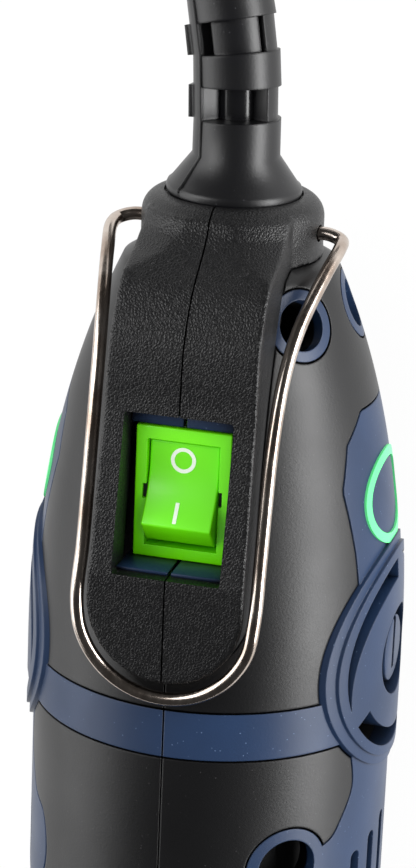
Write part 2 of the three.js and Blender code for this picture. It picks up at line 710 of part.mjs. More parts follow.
function lockButton() {
  const floor = lockSeat + gap + lockTravel;
  const pinEnd = spindleRadius + lockClearance;
  return join(disc(floor, noseRadius + lockRise, lockButtonRadius, 20, 'z', [lockStation, 0, 0]),
    disc(pinEnd, floor + 1, lockPinRadius, 12, 'z', [lockStation, 0, 0]));
}

const lockSpring = () => ring(lockSeat + gap, lockSeat + lockTravel, lockPinRadius + 0.5,
  lockPinRadius + 1.5, 14, 'z', [lockStation, 0, 0]);

// ---- Brushes

const mirrorTo = (side, body) => side > 0 ? body : body.mirror([0, 1, 0]);

function brushHolder(side) {
  const [w, t] = [brushWidth / 2, brushThick / 2];
  const outer = block(ventStation - w - holderWall, ventStation + w + holderWall, brushHolderInner,
    brushCapFloor - gap, -t - holderWall, t + holderWall);
  const [innerW, innerT] = [w + gap / 2, t + gap / 2];
  const inner = block(ventStation - innerW, ventStation + innerW, 0, far, -innerT, innerT);
  return mirrorTo(side, cut(outer, inner));
}

function carbonBrush(side) {
  const from = commutatorRadius + gap;
  return mirrorTo(side, block(ventStation - brushWidth / 2 + 0.15, ventStation + brushWidth / 2 - 0.15,
    from, from + brushLength, -brushThick / 2 + 0.15, brushThick / 2 - 0.15));
}

const brushSpring = (side) => mirrorTo(side, ring(commutatorRadius + brushLength + gap * 2,
  brushCapFloor, 1.1, 1.9, 14, 'y', [ventStation, 0, 0]));

function brushCap(side) {
  const top = bodyRadius - brushCapSink;
  const cap = disc(brushCapFloor + gap, top, brushCapRadius, 16, 'y', [ventStation, 0, 0]);
  return mirrorTo(side, cut(cap, block(ventStation - 4.6, ventStation + 4.6, top - 1.6, far, -0.8, 0.8)));
}

// ---- Switch

function switchHousing() {
  const [l, w] = [bezelLength / 2, bezelWidth / 2];
  const pivot = switchTop - rockerPivotDepth;
  const bezel = block(switchStation - l, switchStation + l, -w, w, switchTop - bezelThick, switchTop);
  const body = block(switchStation - switchBodyLength / 2, switchStation + switchBodyLength / 2,
    -switchBodyWidth / 2, switchBodyWidth / 2, switchTop - switchBodyDepth, switchTop - bezelThick + 0.1);
  const room = rockerReach + 0.25;
  return cut(join(bezel, body), block(switchStation - room, switchStation + room,
    -rockerWidth / 2 - 0.2, rockerWidth / 2 + 0.2, pivot - rockerReach - gap, far));
}

// The rocker seen from the side: its shaped top, then ends round the pivot.
function switchRocker() {
  const arc = (from, to) => spread(from, to, 3).map((a) => [
    rockerReach * Math.cos(a * rad), rockerReach * Math.sin(a * rad)]);
  const outline = [...rockerTop, ...arc(15, -15), [rockerReach * 0.6, -rockerDepth],
    [-rockerReach * 0.6, -rockerDepth], ...arc(195, 170)];
  const pivot = switchTop - rockerPivotDepth;
  const placed = outline.map(([x, z]) => [switchStation + x, pivot + z]);
  return pulled(placed, -rockerWidth / 2, rockerWidth / 2, 'y');
}

function switchTerminal(place) {
  const x = switchStation + place;
  const top = switchTop - switchBodyDepth - gap;
  return block(x - terminalThick / 2, x + terminalThick / 2, -terminalWidth / 2, terminalWidth / 2,
    top - terminalLength, top);
}

// ---- Speed control

function speedDial() {
  const outline = Array.from({ length: 4 * dialTeeth }, (_, i) => {
    const r = dialRadius - (i % 4 < 2 ? 0 : 0.5);
    const a = 2 * Math.PI * i / (4 * dialTeeth);
    return [dialStation + r * Math.cos(a), dialCentre() + r * Math.sin(a)];
  });
  return cut(pulled(outline, -dialWidth / 2, dialWidth / 2, 'y'),
    disc(-far, far, dialShaftRadius + gap, 12, 'y', [dialStation, 0, dialCentre()]));
}

function speedBoard() {
  const side = dialWidth / 2 + gap * 2;
  const from = dialStation - boardBehindDial;
  const board = block(from, from + boardLength, side, side + boardThick, -boardHeight, 0);
  const shaft = disc(-dialWidth / 2, side + 1, dialShaftRadius, 16, 'y', [dialStation, 0, dialCentre()]);
  return join(board, shaft);
}

function suppressionCapacitor() {
  const side = dialWidth / 2 + boardThick + gap * 3;
  const from = dialStation - 3;
  return block(from, from + capacitorLength, side, side + capacitorWidth, -capacitorHeight - 1, -1);
}

// ---- Fasteners and clamp

function housingScrew(station, height) {
  const screw = turned([
    [-screwSeat - screwHeadHeight, 0], [-screwSeat - screwHeadHeight, screwHeadRadius - 0.5],
    [-screwSeat - gap, screwHeadRadius], [-screwSeat - gap, screwRadius],
    [screwLength - screwSeat - 1, screwRadius], [screwLength - screwSeat, 0]], 14, 'y', [station, 0, height]);
  const face = -screwSeat - screwHeadHeight;
  const slot = block(-1.9, 1.9, face - 1, face + 1, -0.4, 0.4);
  const cross = join(slot, slot.rotate([0, 90, 0])).translate([station, 0, height]);
  return cut(screw, cross);
}

function cordClamp() {
  const bar = block(clampStation, clampStation + clampLength, -clampThick - split, -split,
    -clampHalfHeight + gap, clampHalfHeight - gap);
  const holes = [-1, 1].map((z) => disc(-far, far, clampScrewRadius + gap, 10, 'y',
    [clampStation + clampLength / 2, 0, z * clampScrewHeight]));
  return cut(bar, disc(0, far, cordRadius + gap, 16), ...holes);
}

function clampScrew(side) {
  const seat = -clampThick - split - gap;
  return turned([
    [seat - 1.8, 0], [seat - 1.8, clampHeadRadius - 0.2], [seat, clampHeadRadius], [seat, clampScrewRadius],
    [clampScrewLength - 1, clampScrewRadius], [clampScrewLength, 0]], 10, 'y',
  [clampStation + clampLength / 2, 0, side * clampScrewHeight]);
}

// ---- Hanging bail: a wire loop that folds down round the switch pod

function bailPath() {
  const radius = podHalfWidth + bailOut;
  const centre = podEndCentre + bailAhead;
  const top = bodyRadius + bailRise;
  const foot = bailFoot.map(([s, out, up]) => [bailStation + s, neckRadius + out, bailHeight + up]);
  const leg = bailLeg.map(([s, out, rise]) => [s, radius + out, outerRadius(s) + rise]);
  const bend = [90, 60, 30].map((a) => [
    centre + radius * Math.cos(a * rad), radius * Math.sin(a * rad), top]);
  const half = [...foot, ...leg, ...bend];
  const points = [...half, [centre + radius, 0, top], ...half.map(([x, y, z]) => [x, -y, z]).reverse()];
  return new THREE.CatmullRomCurve3(points.map((p) => new THREE.Vector3(...p)), false, 'centripetal');
}

const bail = () => tube(bailPath(), wireRadius, bailSides, bailSteps);

// ---- Lead: out of the rear face, down to the table, into a folded hank, and over it to the plug

// Points on the lead's axis in the part's own frame: station, Y, height above the table.
const exitHeight = axisZ;
const leadRoute = [
  [27, 0, exitHeight], [12, 0, exitHeight], [0, 0, exitHeight], [-8, 0.1, exitHeight],
  [-14, -0.1, exitHeight - 0.2], [-20, -0.5, exitHeight - 0.6], [-26, -1.5, exitHeight - 1.2],
  [-32, -3, exitHeight - 2], [-38, -4.9, exitHeight - 3.3], [-44, -7.2, exitHeight - 5.8],
  [-50, -10.2, exitHeight - 9.4], [-56, -14.3, exitHeight - 13.3], [-62, -19, exitHeight - 16.9],
  [-68, -23.6, exitHeight - 19.8], [-74, -27.8, exitHeight - 22], [-80, -31.3, 5], [-86, -33.4, 4.4],
  [-92, -34, 4.3]].map(([s, y, z]) => new THREE.Vector3(rearX + s, y, z));
const leadCurve = new THREE.CatmullRomCurve3(leadRoute, false, 'centripetal');

const hankTurns = hankTurnsPerLayer * 2 + 0.5;
const hankOuterRadius = hankInnerRadius + hankPitch * hankTurnsPerLayer;
const hankBase = cordRadius + hankLift;
const leadOnTable = leadRoute[leadRoute.length - 1];
const hankCentre = new THREE.Vector3(
  leadOnTable.x - gap - 2 * cordRadius - hankRun / 2, leadOnTable.y + hankOuterRadius, 0);

// The hank's axis: in along the bottom layer, up one layer at the middle, and out again on top.
// The near fold has end 1 and the far fold has end -1.
function hankPoint(turn, end) {
  const inTurns = hankTurnsPerLayer;
  let radius;
  if (turn < inTurns + 0.25) radius = hankOuterRadius - hankPitch * turn;
  else radius = hankInnerRadius + hankPitch * (turn - inTurns - 0.5);
  const climb = Math.min(1, Math.max(0, (turn - inTurns) / 0.5));
  const height = hankBase + hankPitch * climb * climb * (3 - 2 * climb);
  const angle = -Math.PI / 2 - 2 * Math.PI * turn;
  return new THREE.Vector3(radius * Math.cos(angle) + end * hankRun / 2, radius * Math.sin(angle), height)
    .add(hankCentre);
}

function hankCentreline() {
  const points = [];
  const count = Math.round(hankTurns * hankStepsPerTurn);
  for (let i = 0; i <= count; i++) {
    const turn = i / hankStepsPerTurn;
    const end = Math.floor(turn * 2) % 2 === 0 ? -1 : 1;
    const atRun = i % (hankStepsPerTurn / 2) === 0;
    if (atRun) points.push(hankPoint(turn, -end));
    if (!atRun || i < count) points.push(hankPoint(turn, end));
  }
  const start = points[0].clone().add(new THREE.Vector3(2 * cordRadius, 0, 0));
  const end = points[points.length - 1].clone().add(new THREE.Vector3(-2 * cordRadius, 0, 0));
  return [start, ...points, end];
}

// A tube swept through points, with one ring of vertices at each.
function sweptTube(points, radius, count) {
  const position = [];
  const index = [];
  const up = new THREE.Vector3(0, 0, 1);
  points.forEach((p, i) => {
    const [before, after] = [points[Math.max(0, i - 1)], points[Math.min(points.length - 1, i + 1)]];
    const ahead = after.clone().sub(before).normalize();
    const across = up.clone().cross(ahead).normalize();
    const above = ahead.clone().cross(across);
    for (let k = 0; k < count; k++) {
      const a = 2 * Math.PI * (k + 0.5) / count;
      const v = p.clone().addScaledVector(across, radius * Math.cos(a));
      v.addScaledVector(above, radius * Math.sin(a));
      position.push(v.x, v.y, v.z);
      if (i === 0) continue;
      const [here, next] = [i * count + k, i * count + (k + 1) % count];
      index.push(here, next, here - count, next, next - count, here - count);
    }
  });
  const lastRing = (points.length - 1) * count;
  for (let k = 1; k < count - 1; k++) index.push(0, k, k + 1, lastRing, lastRing + k + 1, lastRing + k);
  const geometry = new THREE.BufferGeometry();
  geometry.setAttribute('position', new THREE.Float32BufferAttribute(position, 3));
  geometry.setIndex(index);
  return solid(geometry);
}

// Least clear distance between the hank's own turns, measured from axis to axis on its points.
function hankLeastGap(points) {
  let least = Infinity;
  for (let i = 0; i < points.length; i++) {
    for (let j = i + hankStepsPerTurn / 2; j < points.length; j++) {
      least = Math.min(least, points[i].distanceTo(points[j]));
    }
  }
  return least - 2 * cordRadius;
}

const pathLength = (points) => points.slice(1).reduce((sum, p, i) => sum + p.distanceTo(points[i]), 0);

const hank = hankCentreline();

// The tail rises over the hank's upper layer and comes down in its middle, to the plug on the table.
// Points: distance on from the hank's end, distance in towards the middle, height
const tailStart = hank[hank.length - 1].clone().add(new THREE.Vector3(-gap, 0, 0));
const tailRoute = [
  [0, 0, 11.4], [7, 0, 11.4], [13, 0.1, 12.6], [21, 0.9, 15.4], [28, 3, 18], [34, 6.1, 18.8],
  [40, 10, 18.5], [46, 14.4, 16.7], [52, 18.7, 13.6], [58, 22.6, 9.8], [64, 25.9, 6.4],
  [69, 28.1, 4.7], [73.5, 29.5, 4.4], [79.5, 30.7, 6.3]]
  .map(([along, inward, z]) => new THREE.Vector3(tailStart.x - along, tailStart.y + inward, z));
const tailCurve = new THREE.CatmullRomCurve3(tailRoute, false, 'centripetal');

// Strain relief, in the part's own frame: flange, cone and plain ring, then rings joined by bridges.
function strainRelief() {
  const seat = bootEndWall * 2 + 2 * gap;
  const coneEnd = -bootFlangeThick - bootConeLength;
  const collar = turned([
    [seat + bootInnerThick, 0], [seat + bootInnerThick, bootInnerFlange], [seat, bootInnerFlange],
    [seat, bootNeckRadius], [bootSink, bootNeckRadius], [bootSink, bootFlangeRadius],
    [bootSink - bootFlangeThick, bootFlangeRadius], [coneEnd, bootRadius],
    [coneEnd - bootFirstRing, bootRadius], [coneEnd - bootFirstRing, 0]], 16).translate([rearX, 0, axisZ]);
  const parts = [collar];
  const total = leadCurve.getLength();
  const along = (station) => {
    // share of the curve's length at a station, found by halving
    let [low, high] = [0, 1];
    for (let i = 0; i < 30; i++) {
      const middle = (low + high) / 2;
      if (leadCurve.getPointAt(middle).x - rearX > station) low = middle;
      else high = middle;
    }
    return low * total;
  };
  const start = along(coneEnd - bootFirstRing);
  const placeAt = (distance, body) => {
    const p = leadCurve.getPointAt(distance / total);
    const ahead = leadCurve.getTangentAt(distance / total).negate();
    const turn = Math.atan2(ahead.y, ahead.x) / rad;
    const dip = -Math.asin(ahead.z) / rad;
    return body.rotate([0, dip, 0]).rotate([0, 0, turn]).translate([p.x, p.y, p.z]);
  };
  for (let i = 0; i < bootRings; i++) {
    const slotMiddle = start + bootPitch * (2 * i + 0.5);
    const ringMiddle = start + bootPitch * (2 * i + 1.5);
    const radius = bootRadius - bootTaper * i;
    parts.push(placeAt(ringMiddle, disc(-bootPitch / 2, bootPitch / 2, radius, 16)));
    const half = bootPitch / 2 + 1;
    const round = (depth) => disc(-half, half, radius - depth, 16);
    const bridges = [
      common(round(bootSpine[1]), block(-far, far, -far, 0, -bootSpine[0] / 2, bootSpine[0] / 2)),
      common(round(bootRearBridge[1]), block(-far, far, 0, far, -bootRearBridge[0] / 2, bootRearBridge[0] / 2))];
    if (i % 2 === 1) {
      bridges.push(common(round(bootFrontDepth), block(-far, far, ...bootFrontBridge, 0, far)));
    }
    parts.push(placeAt(slotMiddle, join(...bridges)));
  }
  const bore = tube(leadCurve, cordRadius + gap + 0.15, cordSides, leadSteps);
  return cut(join(...parts), bore);
}

// Flat strap round the hank's runs on its right side.
function hankTie() {
  const [low, high] = [hankLift - gap, hankBase + hankPitch + cordRadius + gap];
  const innermost = hankInnerRadius + hankPitch / 4;
  const [near, out] = [innermost - cordRadius - gap, hankOuterRadius - hankPitch / 2 + cordRadius + gap];
  const strap = cut(
    block(-tieWidth / 2, tieWidth / 2, near - tieThick, out + tieThick, low - tieThick, high + tieThick),
    block(-tieWidth, tieWidth, near, out, low, high));
  return strap.translate([hankCentre.x, hankCentre.y, 0]);
}

// Round two-pin plug, resting on its rim with its tail near the table.
function placePlug(body) {
  const end = tailRoute[tailRoute.length - 1];
  const ahead = tailCurve.getTangentAt(1);
  const turn = Math.atan2(ahead.y, ahead.x);
  const tilt = Math.atan2(plugRadius, plugRimStart) - Math.asin(end.z / Math.hypot(plugRadius, plugRimStart));
  return body.rotate([0, -tilt / rad, 0]).rotate([0, 0, turn / rad]).translate([end.x, end.y, end.z]);
}

function plugBody() {
  const start = gap;
  const body = turned([
    [start, 0], ...plugNeck.map(([along, r]) => [start + along, r]), [plugRimStart, plugRadius],
    [start + plugLength - plugRimRound, plugRadius], [start + plugLength, plugRadius - plugRimRound],
    [start + plugLength, 0]], 20);
  const past = plugLength + 5;
  const notches = [-1, 1].map((z) => disc(start + 24, past, 3, 10, 'x', [0, 0, z * (plugRadius + 0.6)]));
  const holes = [-1, 1].map((y) => disc(start + plugLength - pinSocketDepth, past, pinRadius + gap, 10,
    'x', [0, y * pinPitch / 2, 0]));
  return placePlug(cut(body, ...notches, ...holes));
}

function plugPin(side) {
  const start = gap + plugLength;
  return placePlug(turned([
    [start - pinSocketDepth + gap, 0], [start - pinSocketDepth + gap, pinRadius],
    [start + pinLength - 1, pinRadius],
    [start + pinLength, pinRadius - 1], [start + pinLength, 0]], 10, 'x', [0, side * pinPitch / 2, 0]));
}

// ---- Assembly

const finishes = {
  blueShell: [0x3c4e70, 0.45, 0], softBlack: [0x1c1b1d, 0.8, 0], grainBlack: [0x232224, 0.6, 0],
  green: [0x62d80c, 0.35, 0], steel: [0xc9c6c0, 0.25, 1], darkSteel: [0x6d6c6b, 0.4, 1],
  copper: [0xb4612e, 0.4, 1], brass: [0xc8a24a, 0.35, 1], carbon: [0x2b2b2d, 0.7, 0],
  blackPlastic: [0x202022, 0.5, 0], rubber: [0x19191a, 0.75, 0], board: [0x2d5f3c, 0.6, 0],
  cable: [0x141415, 0.4, 0], tie: [0x2a2a2c, 0.9, 0], amber: [0x9a6b2d, 0.5, 0]};

const group = new THREE.Group();
group.name = 'rotary_tool';

function add(name, body, finish, inToolFrame = true) {
  const [color, roughness, metalness] = finishes[finish];
  const material = new THREE.MeshStandardMaterial({ color, roughness, metalness });
  const mesh = new THREE.Mesh(toGeometry(body), material);
  mesh.name = name;
  if (inToolFrame) mesh.position.set(rearX, 0, axisZ);
  group.add(mesh);
}

const blueIn = blueRegion(0);
const blueOut = blueRegion(gap);
const overmould = rearOvermould(blueOut);
const grip = frontGrip(blueOut);
const pod = switchPod(blueOut);
for (const [side, name] of [[-1, 'left'], [1, 'right']]) {
  add(`${name}_shell`, shell(side, blueIn), 'blueShell');
  add(`${name}_rear_overmould`, common(overmould, halfSpace(side), aboveFloor), 'softBlack');
  add(`${name}_front_grip`, common(grip, halfSpace(side), aboveFloor), 'softBlack');
  add(`${name}_switch_pod`, common(pod, halfSpace(side)), 'grainBlack');
  add(`${name}_brush_holder`, brushHolder(side), 'brass');
  add(`${name}_carbon_brush`, carbonBrush(side), 'carbon');
  add(`${name}_brush_spring`, brushSpring(side), 'steel');
  add(`${name}_brush_cap`, brushCap(side), 'blueShell');
}
add('nose_cap', noseCap(), 'blackPlastic');
add('spindle_lock_button', lockButton(), 'grainBlack');
add('spindle_lock_spring', lockSpring(), 'steel');
add('armature_shaft', armatureShaft(), 'steel');
add('armature_core', armatureCore(), 'darkSteel');
add('armature_winding', armatureWinding(), 'copper');
add('commutator', commutator(), 'copper');
add('cooling_fan', coolingFan(), 'blackPlastic');
add('rear_bearing', ring(rearBearingStation, rearBearingStation + rearBearingWidth, shaftRadius + gap,
  rearBearingRadius, innerSides), 'steel');
add('rear_bearing_boot', ring(rearBearingStation, rearBearingStation + rearBearingWidth,
  rearBearingRadius + gap, rearBearingRadius + gap + bearingBootWall, innerSides), 'rubber');
add('front_bearing', ring(frontBearingStation, frontBearingStation + frontBearingWidth,
  frontJournalRadius + gap, frontBearingRadius, innerSides), 'steel');
add('stator_core', statorCore(), 'darkSteel');
add('upper_field_coil', fieldCoil(1), 'copper');
add('lower_field_coil', fieldCoil(-1), 'copper');
add('collet', collet(), 'steel');
add('collet_nut', colletNut(), 'darkSteel');
add('switch_body', switchHousing(), 'green');
add('switch_rocker', switchRocker(), 'green');
add('rear_switch_terminal', switchTerminal(terminalPlaces[0]), 'brass');
add('front_switch_terminal', switchTerminal(terminalPlaces[1]), 'brass');
add('speed_dial', speedDial(), 'blackPlastic');
add('speed_board', speedBoard(), 'board');
add('suppression_capacitor', suppressionCapacitor(), 'amber');
for (const [name, station, height] of screwPlaces) {
  add(`screw_${name}`, housingScrew(station, height), 'darkSteel');
}
add('cord_clamp', cordClamp(), 'blackPlastic');
add('clamp_screw_upper', clampScrew(1), 'darkSteel');
add('clamp_screw_lower', clampScrew(-1), 'darkSteel');
add('hanging_bail', bail(), 'steel');
add('strain_relief', strainRelief(), 'rubber', false);
add('cord', tube(leadCurve, cordRadius, cordSides, leadSteps), 'cable', false);
add('cord_hank', sweptTube(hank, cordRadius, 6), 'cable', false);
add('cord_tail', tube(tailCurve, cordRadius, cordSides, 10), 'cable', false);
add('hank_tie', hankTie(), 'tie', false);
add('mains_plug', plugBody(), 'rubber', false);
add('plug_pin_a', plugPin(-1), 'brass', false);
add('plug_pin_b', plugPin(1), 'brass', false);

const hankLength = pathLength(hank);
const leadLength = leadCurve.getLength() + hankLength + tailCurve.getLength();
console.log(`hank: least gap ${hankLeastGap(hank).toFixed(2)} mm, length ${hankLength.toFixed(0)} mm`);
console.log(`lead: ${leadLength.toFixed(0)} mm in all`);

export default group;
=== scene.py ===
import json
import math

import bpy
import numpy as np
from mathutils import Matrix, Vector


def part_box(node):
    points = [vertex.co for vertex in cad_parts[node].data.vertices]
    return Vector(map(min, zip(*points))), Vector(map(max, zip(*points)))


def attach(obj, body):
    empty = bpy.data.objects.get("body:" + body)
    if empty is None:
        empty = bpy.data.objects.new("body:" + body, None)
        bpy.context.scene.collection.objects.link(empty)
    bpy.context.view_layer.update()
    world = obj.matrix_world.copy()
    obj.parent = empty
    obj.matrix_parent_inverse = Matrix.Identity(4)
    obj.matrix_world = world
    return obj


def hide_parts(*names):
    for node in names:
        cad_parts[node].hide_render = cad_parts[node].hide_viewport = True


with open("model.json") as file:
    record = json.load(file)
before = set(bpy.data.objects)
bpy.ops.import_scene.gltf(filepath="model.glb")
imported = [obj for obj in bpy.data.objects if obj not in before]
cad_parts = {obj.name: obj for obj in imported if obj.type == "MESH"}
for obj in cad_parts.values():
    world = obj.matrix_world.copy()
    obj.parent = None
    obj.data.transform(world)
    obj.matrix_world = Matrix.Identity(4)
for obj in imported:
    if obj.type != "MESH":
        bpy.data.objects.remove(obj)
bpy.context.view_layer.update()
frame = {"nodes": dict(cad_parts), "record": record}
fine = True
print("frame loaded")

# Pieces are modelled in millimetres in the tool's own frame, then settled into the part's frame in metres.
# Along the tool a station is the distance forward from the rear face. Heights are from the tool's axis.
mm = 0.001
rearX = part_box("left_rear_overmould")[0][0] / mm
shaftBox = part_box("armature_shaft")
axisZ = (shaftBox[0][2] + shaftBox[1][2]) / 2 / mm
toolToPart = Matrix.Scale(mm, 4) @ Matrix.Translation((rearX, 0, axisZ))

body = {
    "radius": 29.0, "neckRadius": 14.1, "neckRound": 3.3, "shoulderStart": 10.0, "shoulderRadius": 16.5,
    "shoulderPower": 2.4, "bandStart": 75.0, "bandEnd": 82.7, "barrelEnd": 112.7, "noseStart": 167.7,
    "noseRadius": 19.4, "noseEnd": 177.7, "edgeRound": 1.3, "floorCut": -28.4, "split": 0.26, "skin": 2.2,
    "innerWall": 2.6, "gap": 0.3}


# ---- Camera and lead come first

camera = {"place": (-0.21791, 0.11454, 0.46677), "lens": 125.74,
          "across": (-0.0390, 0.9619, -0.2706), "up": (-0.9462, -0.1226, -0.2995)}


def addCamera():
    bpy.ops.object.camera_add(location=camera["place"])
    lookout = bpy.context.object
    across, up = Vector(camera["across"]).normalized(), Vector(camera["up"])
    back = across.cross(up).normalized()
    up = back.cross(across)
    lookout.matrix_world = Matrix((
        (across.x, up.x, back.x, camera["place"][0]), (across.y, up.y, back.y, camera["place"][1]),
        (across.z, up.z, back.z, camera["place"][2]), (0, 0, 0, 1)))
    lookout.data.lens = camera["lens"]
    lookout.data.sensor_width = 36
    lookout.data.clip_start = 0.01
    bpy.context.scene.camera = lookout


addCamera()


# ---- Small helpers for modelling by operators and modifiers

def deselectAll():
    if bpy.context.mode != "OBJECT":
        bpy.ops.object.mode_set(mode="OBJECT")
    bpy.ops.object.select_all(action="DESELECT")


def pick(piece):
    deselectAll()
    piece.select_set(True)
    bpy.context.view_layer.objects.active = piece


def modify(piece, kind, **values):
    pick(piece)
    modifier = piece.modifiers.new(kind.lower(), kind)
    for key, value in values.items():
        setattr(modifier, key, value)
    bpy.ops.object.modifier_apply(modifier=modifier.name)
    return piece


def editAll(piece, operator, **values):
    pick(piece)
    bpy.ops.object.mode_set(mode="EDIT")
    bpy.ops.mesh.select_mode(type="VERT")
    bpy.ops.mesh.select_all(action="SELECT")
    operator(**values)
    bpy.ops.object.mode_set(mode="OBJECT")
    return piece


def cleanUp(piece):
    editAll(piece, bpy.ops.mesh.remove_doubles, threshold=1e-4)
    editAll(piece, bpy.ops.mesh.dissolve_degenerate, threshold=1e-5)
    return editAll(piece, bpy.ops.mesh.normals_make_consistent, inside=False)


def loopThrough(name, points, fill):
    deselectAll()
    bpy.ops.mesh.primitive_circle_add(vertices=len(points), radius=1, fill_type=fill)
    piece = bpy.context.object
    piece.name = piece.data.name = name
    for vertex, point in zip(piece.data.vertices, points):
        vertex.co = point
    return piece


# A solid turned about an axis from [along, radius] points. The profile ends on the axis or closes on itself.
def turned(name, profile, steps=96, axis="X", at=(0, 0, 0)):
    place = {"X": lambda a, r: (a, 0, r), "Y": lambda a, r: (0, a, r), "Z": lambda a, r: (r, 0, a)}[axis]
    piece = loopThrough(name, [place(a, r) for a, r in profile], "NOTHING")
    if profile[0][1] == 0 and profile[-1][1] == 0:
        pick(piece)
        last = len(profile) - 1
        for edge in piece.data.edges:
            edge.select = set(edge.vertices) == {0, last}
        for vertex in piece.data.vertices:
            vertex.select = vertex.index in (0, last)
        bpy.ops.object.mode_set(mode="EDIT")
        bpy.ops.mesh.select_mode(type="EDGE")
        bpy.ops.mesh.delete(type="EDGE")
        bpy.ops.object.mode_set(mode="OBJECT")
    modify(piece, "SCREW", axis=axis, angle=2 * math.pi, steps=steps, render_steps=steps,
           use_merge_vertices=True, merge_threshold=1e-4, screw_offset=0)
    cleanUp(piece)
    return shift(piece, at)


def ring(name, profile, steps=96, axis="X", at=(0, 0, 0)):
    return turned(name, [*profile, profile[0]], steps, axis, at)


def shift(piece, by):
    if any(by):
        pick(piece)
        piece.location = by
        bpy.ops.object.transform_apply(location=True, rotation=False, scale=False)
    return piece


def spin(piece, degrees, axis):
    pick(piece)
    piece.rotation_mode = "QUATERNION"
    piece.rotation_quaternion = Matrix.Rotation(math.radians(degrees), 3, axis).to_quaternion()
    bpy.ops.object.transform_apply(location=False, rotation=True, scale=False)
    return piece


# An outline pulled along an axis: [X, Y] points for Z, [X, Z] points for Y, [Y, Z] points for X.
def pulled(name, outline, low, high, axis="Z"):
    place = {"Z": lambda a, b: (a, b, low), "Y": lambda a, b: (a, low, b),
             "X": lambda a, b: (low, a, b)}[axis]
    step = {"Z": (0, 0, high - low), "Y": (0, high - low, 0), "X": (high - low, 0, 0)}[axis]
    piece = loopThrough(name, [place(a, b) for a, b in outline], "NGON")
    editAll(piece, bpy.ops.mesh.extrude_region_move, TRANSFORM_OT_translate={"value": step})
    return editAll(piece, bpy.ops.mesh.normals_make_consistent, inside=False)


def block(name, x0, x1, y0, y1, z0, z1):
    deselectAll()
    bpy.ops.mesh.primitive_cube_add(size=1, location=((x0 + x1) / 2, (y0 + y1) / 2, (z0 + z1) / 2))
    piece = bpy.context.object
    piece.name = piece.data.name = name
    piece.scale = (x1 - x0, y1 - y0, z1 - z0)
    bpy.ops.object.transform_apply(location=True, rotation=False, scale=True)
    return piece


def rod(name, radius, low, high, count=48, axis="Y", at=(0, 0, 0)):
    return turned(name, [(low, 0), (low, radius), (high, radius), (high, 0)], count, axis, at)


def copyOf(piece, name):
    double = piece.copy()
    double.data = piece.data.copy()
    double.name = double.data.name = name
    bpy.context.collection.objects.link(double)
    return double


def drop(piece):
    mesh = piece.data
    bpy.data.objects.remove(piece, do_unlink=True)
    bpy.data.meshes.remove(mesh)


# The other pieces are used up.
def combine(piece, others, how):
    for other in others:
        modify(piece, "BOOLEAN", object=other, operation=how, solver="MANIFOLD")
        drop(other)
    return piece


def cutFrom(piece, *tools):
    return combine(piece, tools, "DIFFERENCE")


def joined(piece, *others):
    return combine(piece, others, "UNION")


def overlapOf(piece, *others):
    return combine(piece, others, "INTERSECT")


# The remesh grid is turned off every axis, so that no straight edge runs along it.
gridTurn = np.array(Matrix.Rotation(0.61, 3, "X") @ Matrix.Rotation(0.47, 3, "Y")
                    @ Matrix.Rotation(0.83, 3, "Z"))


def sculpt(piece, move):
    at = np.empty(len(piece.data.vertices) * 3, dtype=np.float32)
    piece.data.vertices.foreach_get("co", at)
    piece.data.vertices.foreach_set("co", move(at.reshape(-1, 3)).astype(np.float32).ravel())
    piece.data.update()
    return piece


# Turns a sharp built-up shape into one even skin with moulded, rounded edges.
def moulded(piece, voxel, rounds):
    sculpt(piece, lambda at: at @ gridTurn.T)
    modify(piece, "REMESH", mode="VOXEL", voxel_size=voxel if fine else voxel * 1.8, adaptivity=0,
           use_smooth_shade=True)
    sculpt(piece, lambda at: at @ gridTurn)
    return modify(piece, "SMOOTH", factor=0.5, iterations=rounds if fine else max(1, rounds // 2))


# Moves a finished piece into the part's frame, with the material of its slot, its body, and the nodes that it
# replaces hidden.
def settle(piece, slot, nodes=(), smooth=None, bodyName="housing", material=None):
    pick(piece)
    piece.matrix_world = toolToPart
    bpy.ops.object.transform_apply(location=True, rotation=True, scale=True)
    if smooth is None:
        bpy.ops.object.shade_smooth()
    else:
        bpy.ops.object.shade_smooth_by_angle(angle=math.radians(smooth))
    piece.data.materials.clear()
    piece.data.materials.append(material or slotMaterials[slot])
    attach(piece, bodyName)
    if nodes:
        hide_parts(*nodes)


def nodesFor(side, stem):
    return ("right_" if side > 0 else "left_") + stem


# Parts a finished whole along the joint between the halves, and settles both.
def settleHalves(whole, stem, slot, nodeStem=None, smooth=40, gap=body["split"], material=None):
    for side in (-1, 1):
        half = copyOf(whole, nodesFor(side, stem))
        editAll(half, bpy.ops.mesh.bisect, plane_co=(0, side * gap / 2, 0), plane_no=(0, side, 0),
                use_fill=True, clear_inner=True, clear_outer=False)
        settle(half, slot, [nodesFor(side, nodeStem)] if nodeStem else [], smooth, material=material)
    drop(whole)


# ---- Materials

def tint(red, green, blue):
    return tuple((c / 255 / 12.92) if c / 255 <= 0.04045 else ((c / 255 + 0.055) / 1.055) ** 2.4
                 for c in (red, green, blue)) + (1.0,)


def newGroup(name, inputs, outputs):
    group = bpy.data.node_groups.new(name, "ShaderNodeTree")
    for label, value in inputs.items():
        socket = group.interface.new_socket(label, in_out="INPUT", socket_type="NodeSocketFloat")
        socket.default_value = value
    for label in outputs:
        group.interface.new_socket(label, in_out="OUTPUT", socket_type="NodeSocketFloat")
    return group, group.nodes.new("NodeGroupInput"), group.nodes.new("NodeGroupOutput")


def addNode(tree, kind, links=None, **values):
    node = tree.nodes.new(kind)
    for key, value in values.items():
        setattr(node, key, value)
    for socket, source in (links or {}).items():
        if hasattr(source, "links"):
            tree.links.new(source, node.inputs[socket])
        else:
            node.inputs[socket].default_value = source
    return node


def mathNode(tree, operation, first, second):
    return addNode(tree, "ShaderNodeMath", {0: first, 1: second}, operation=operation).outputs[0]


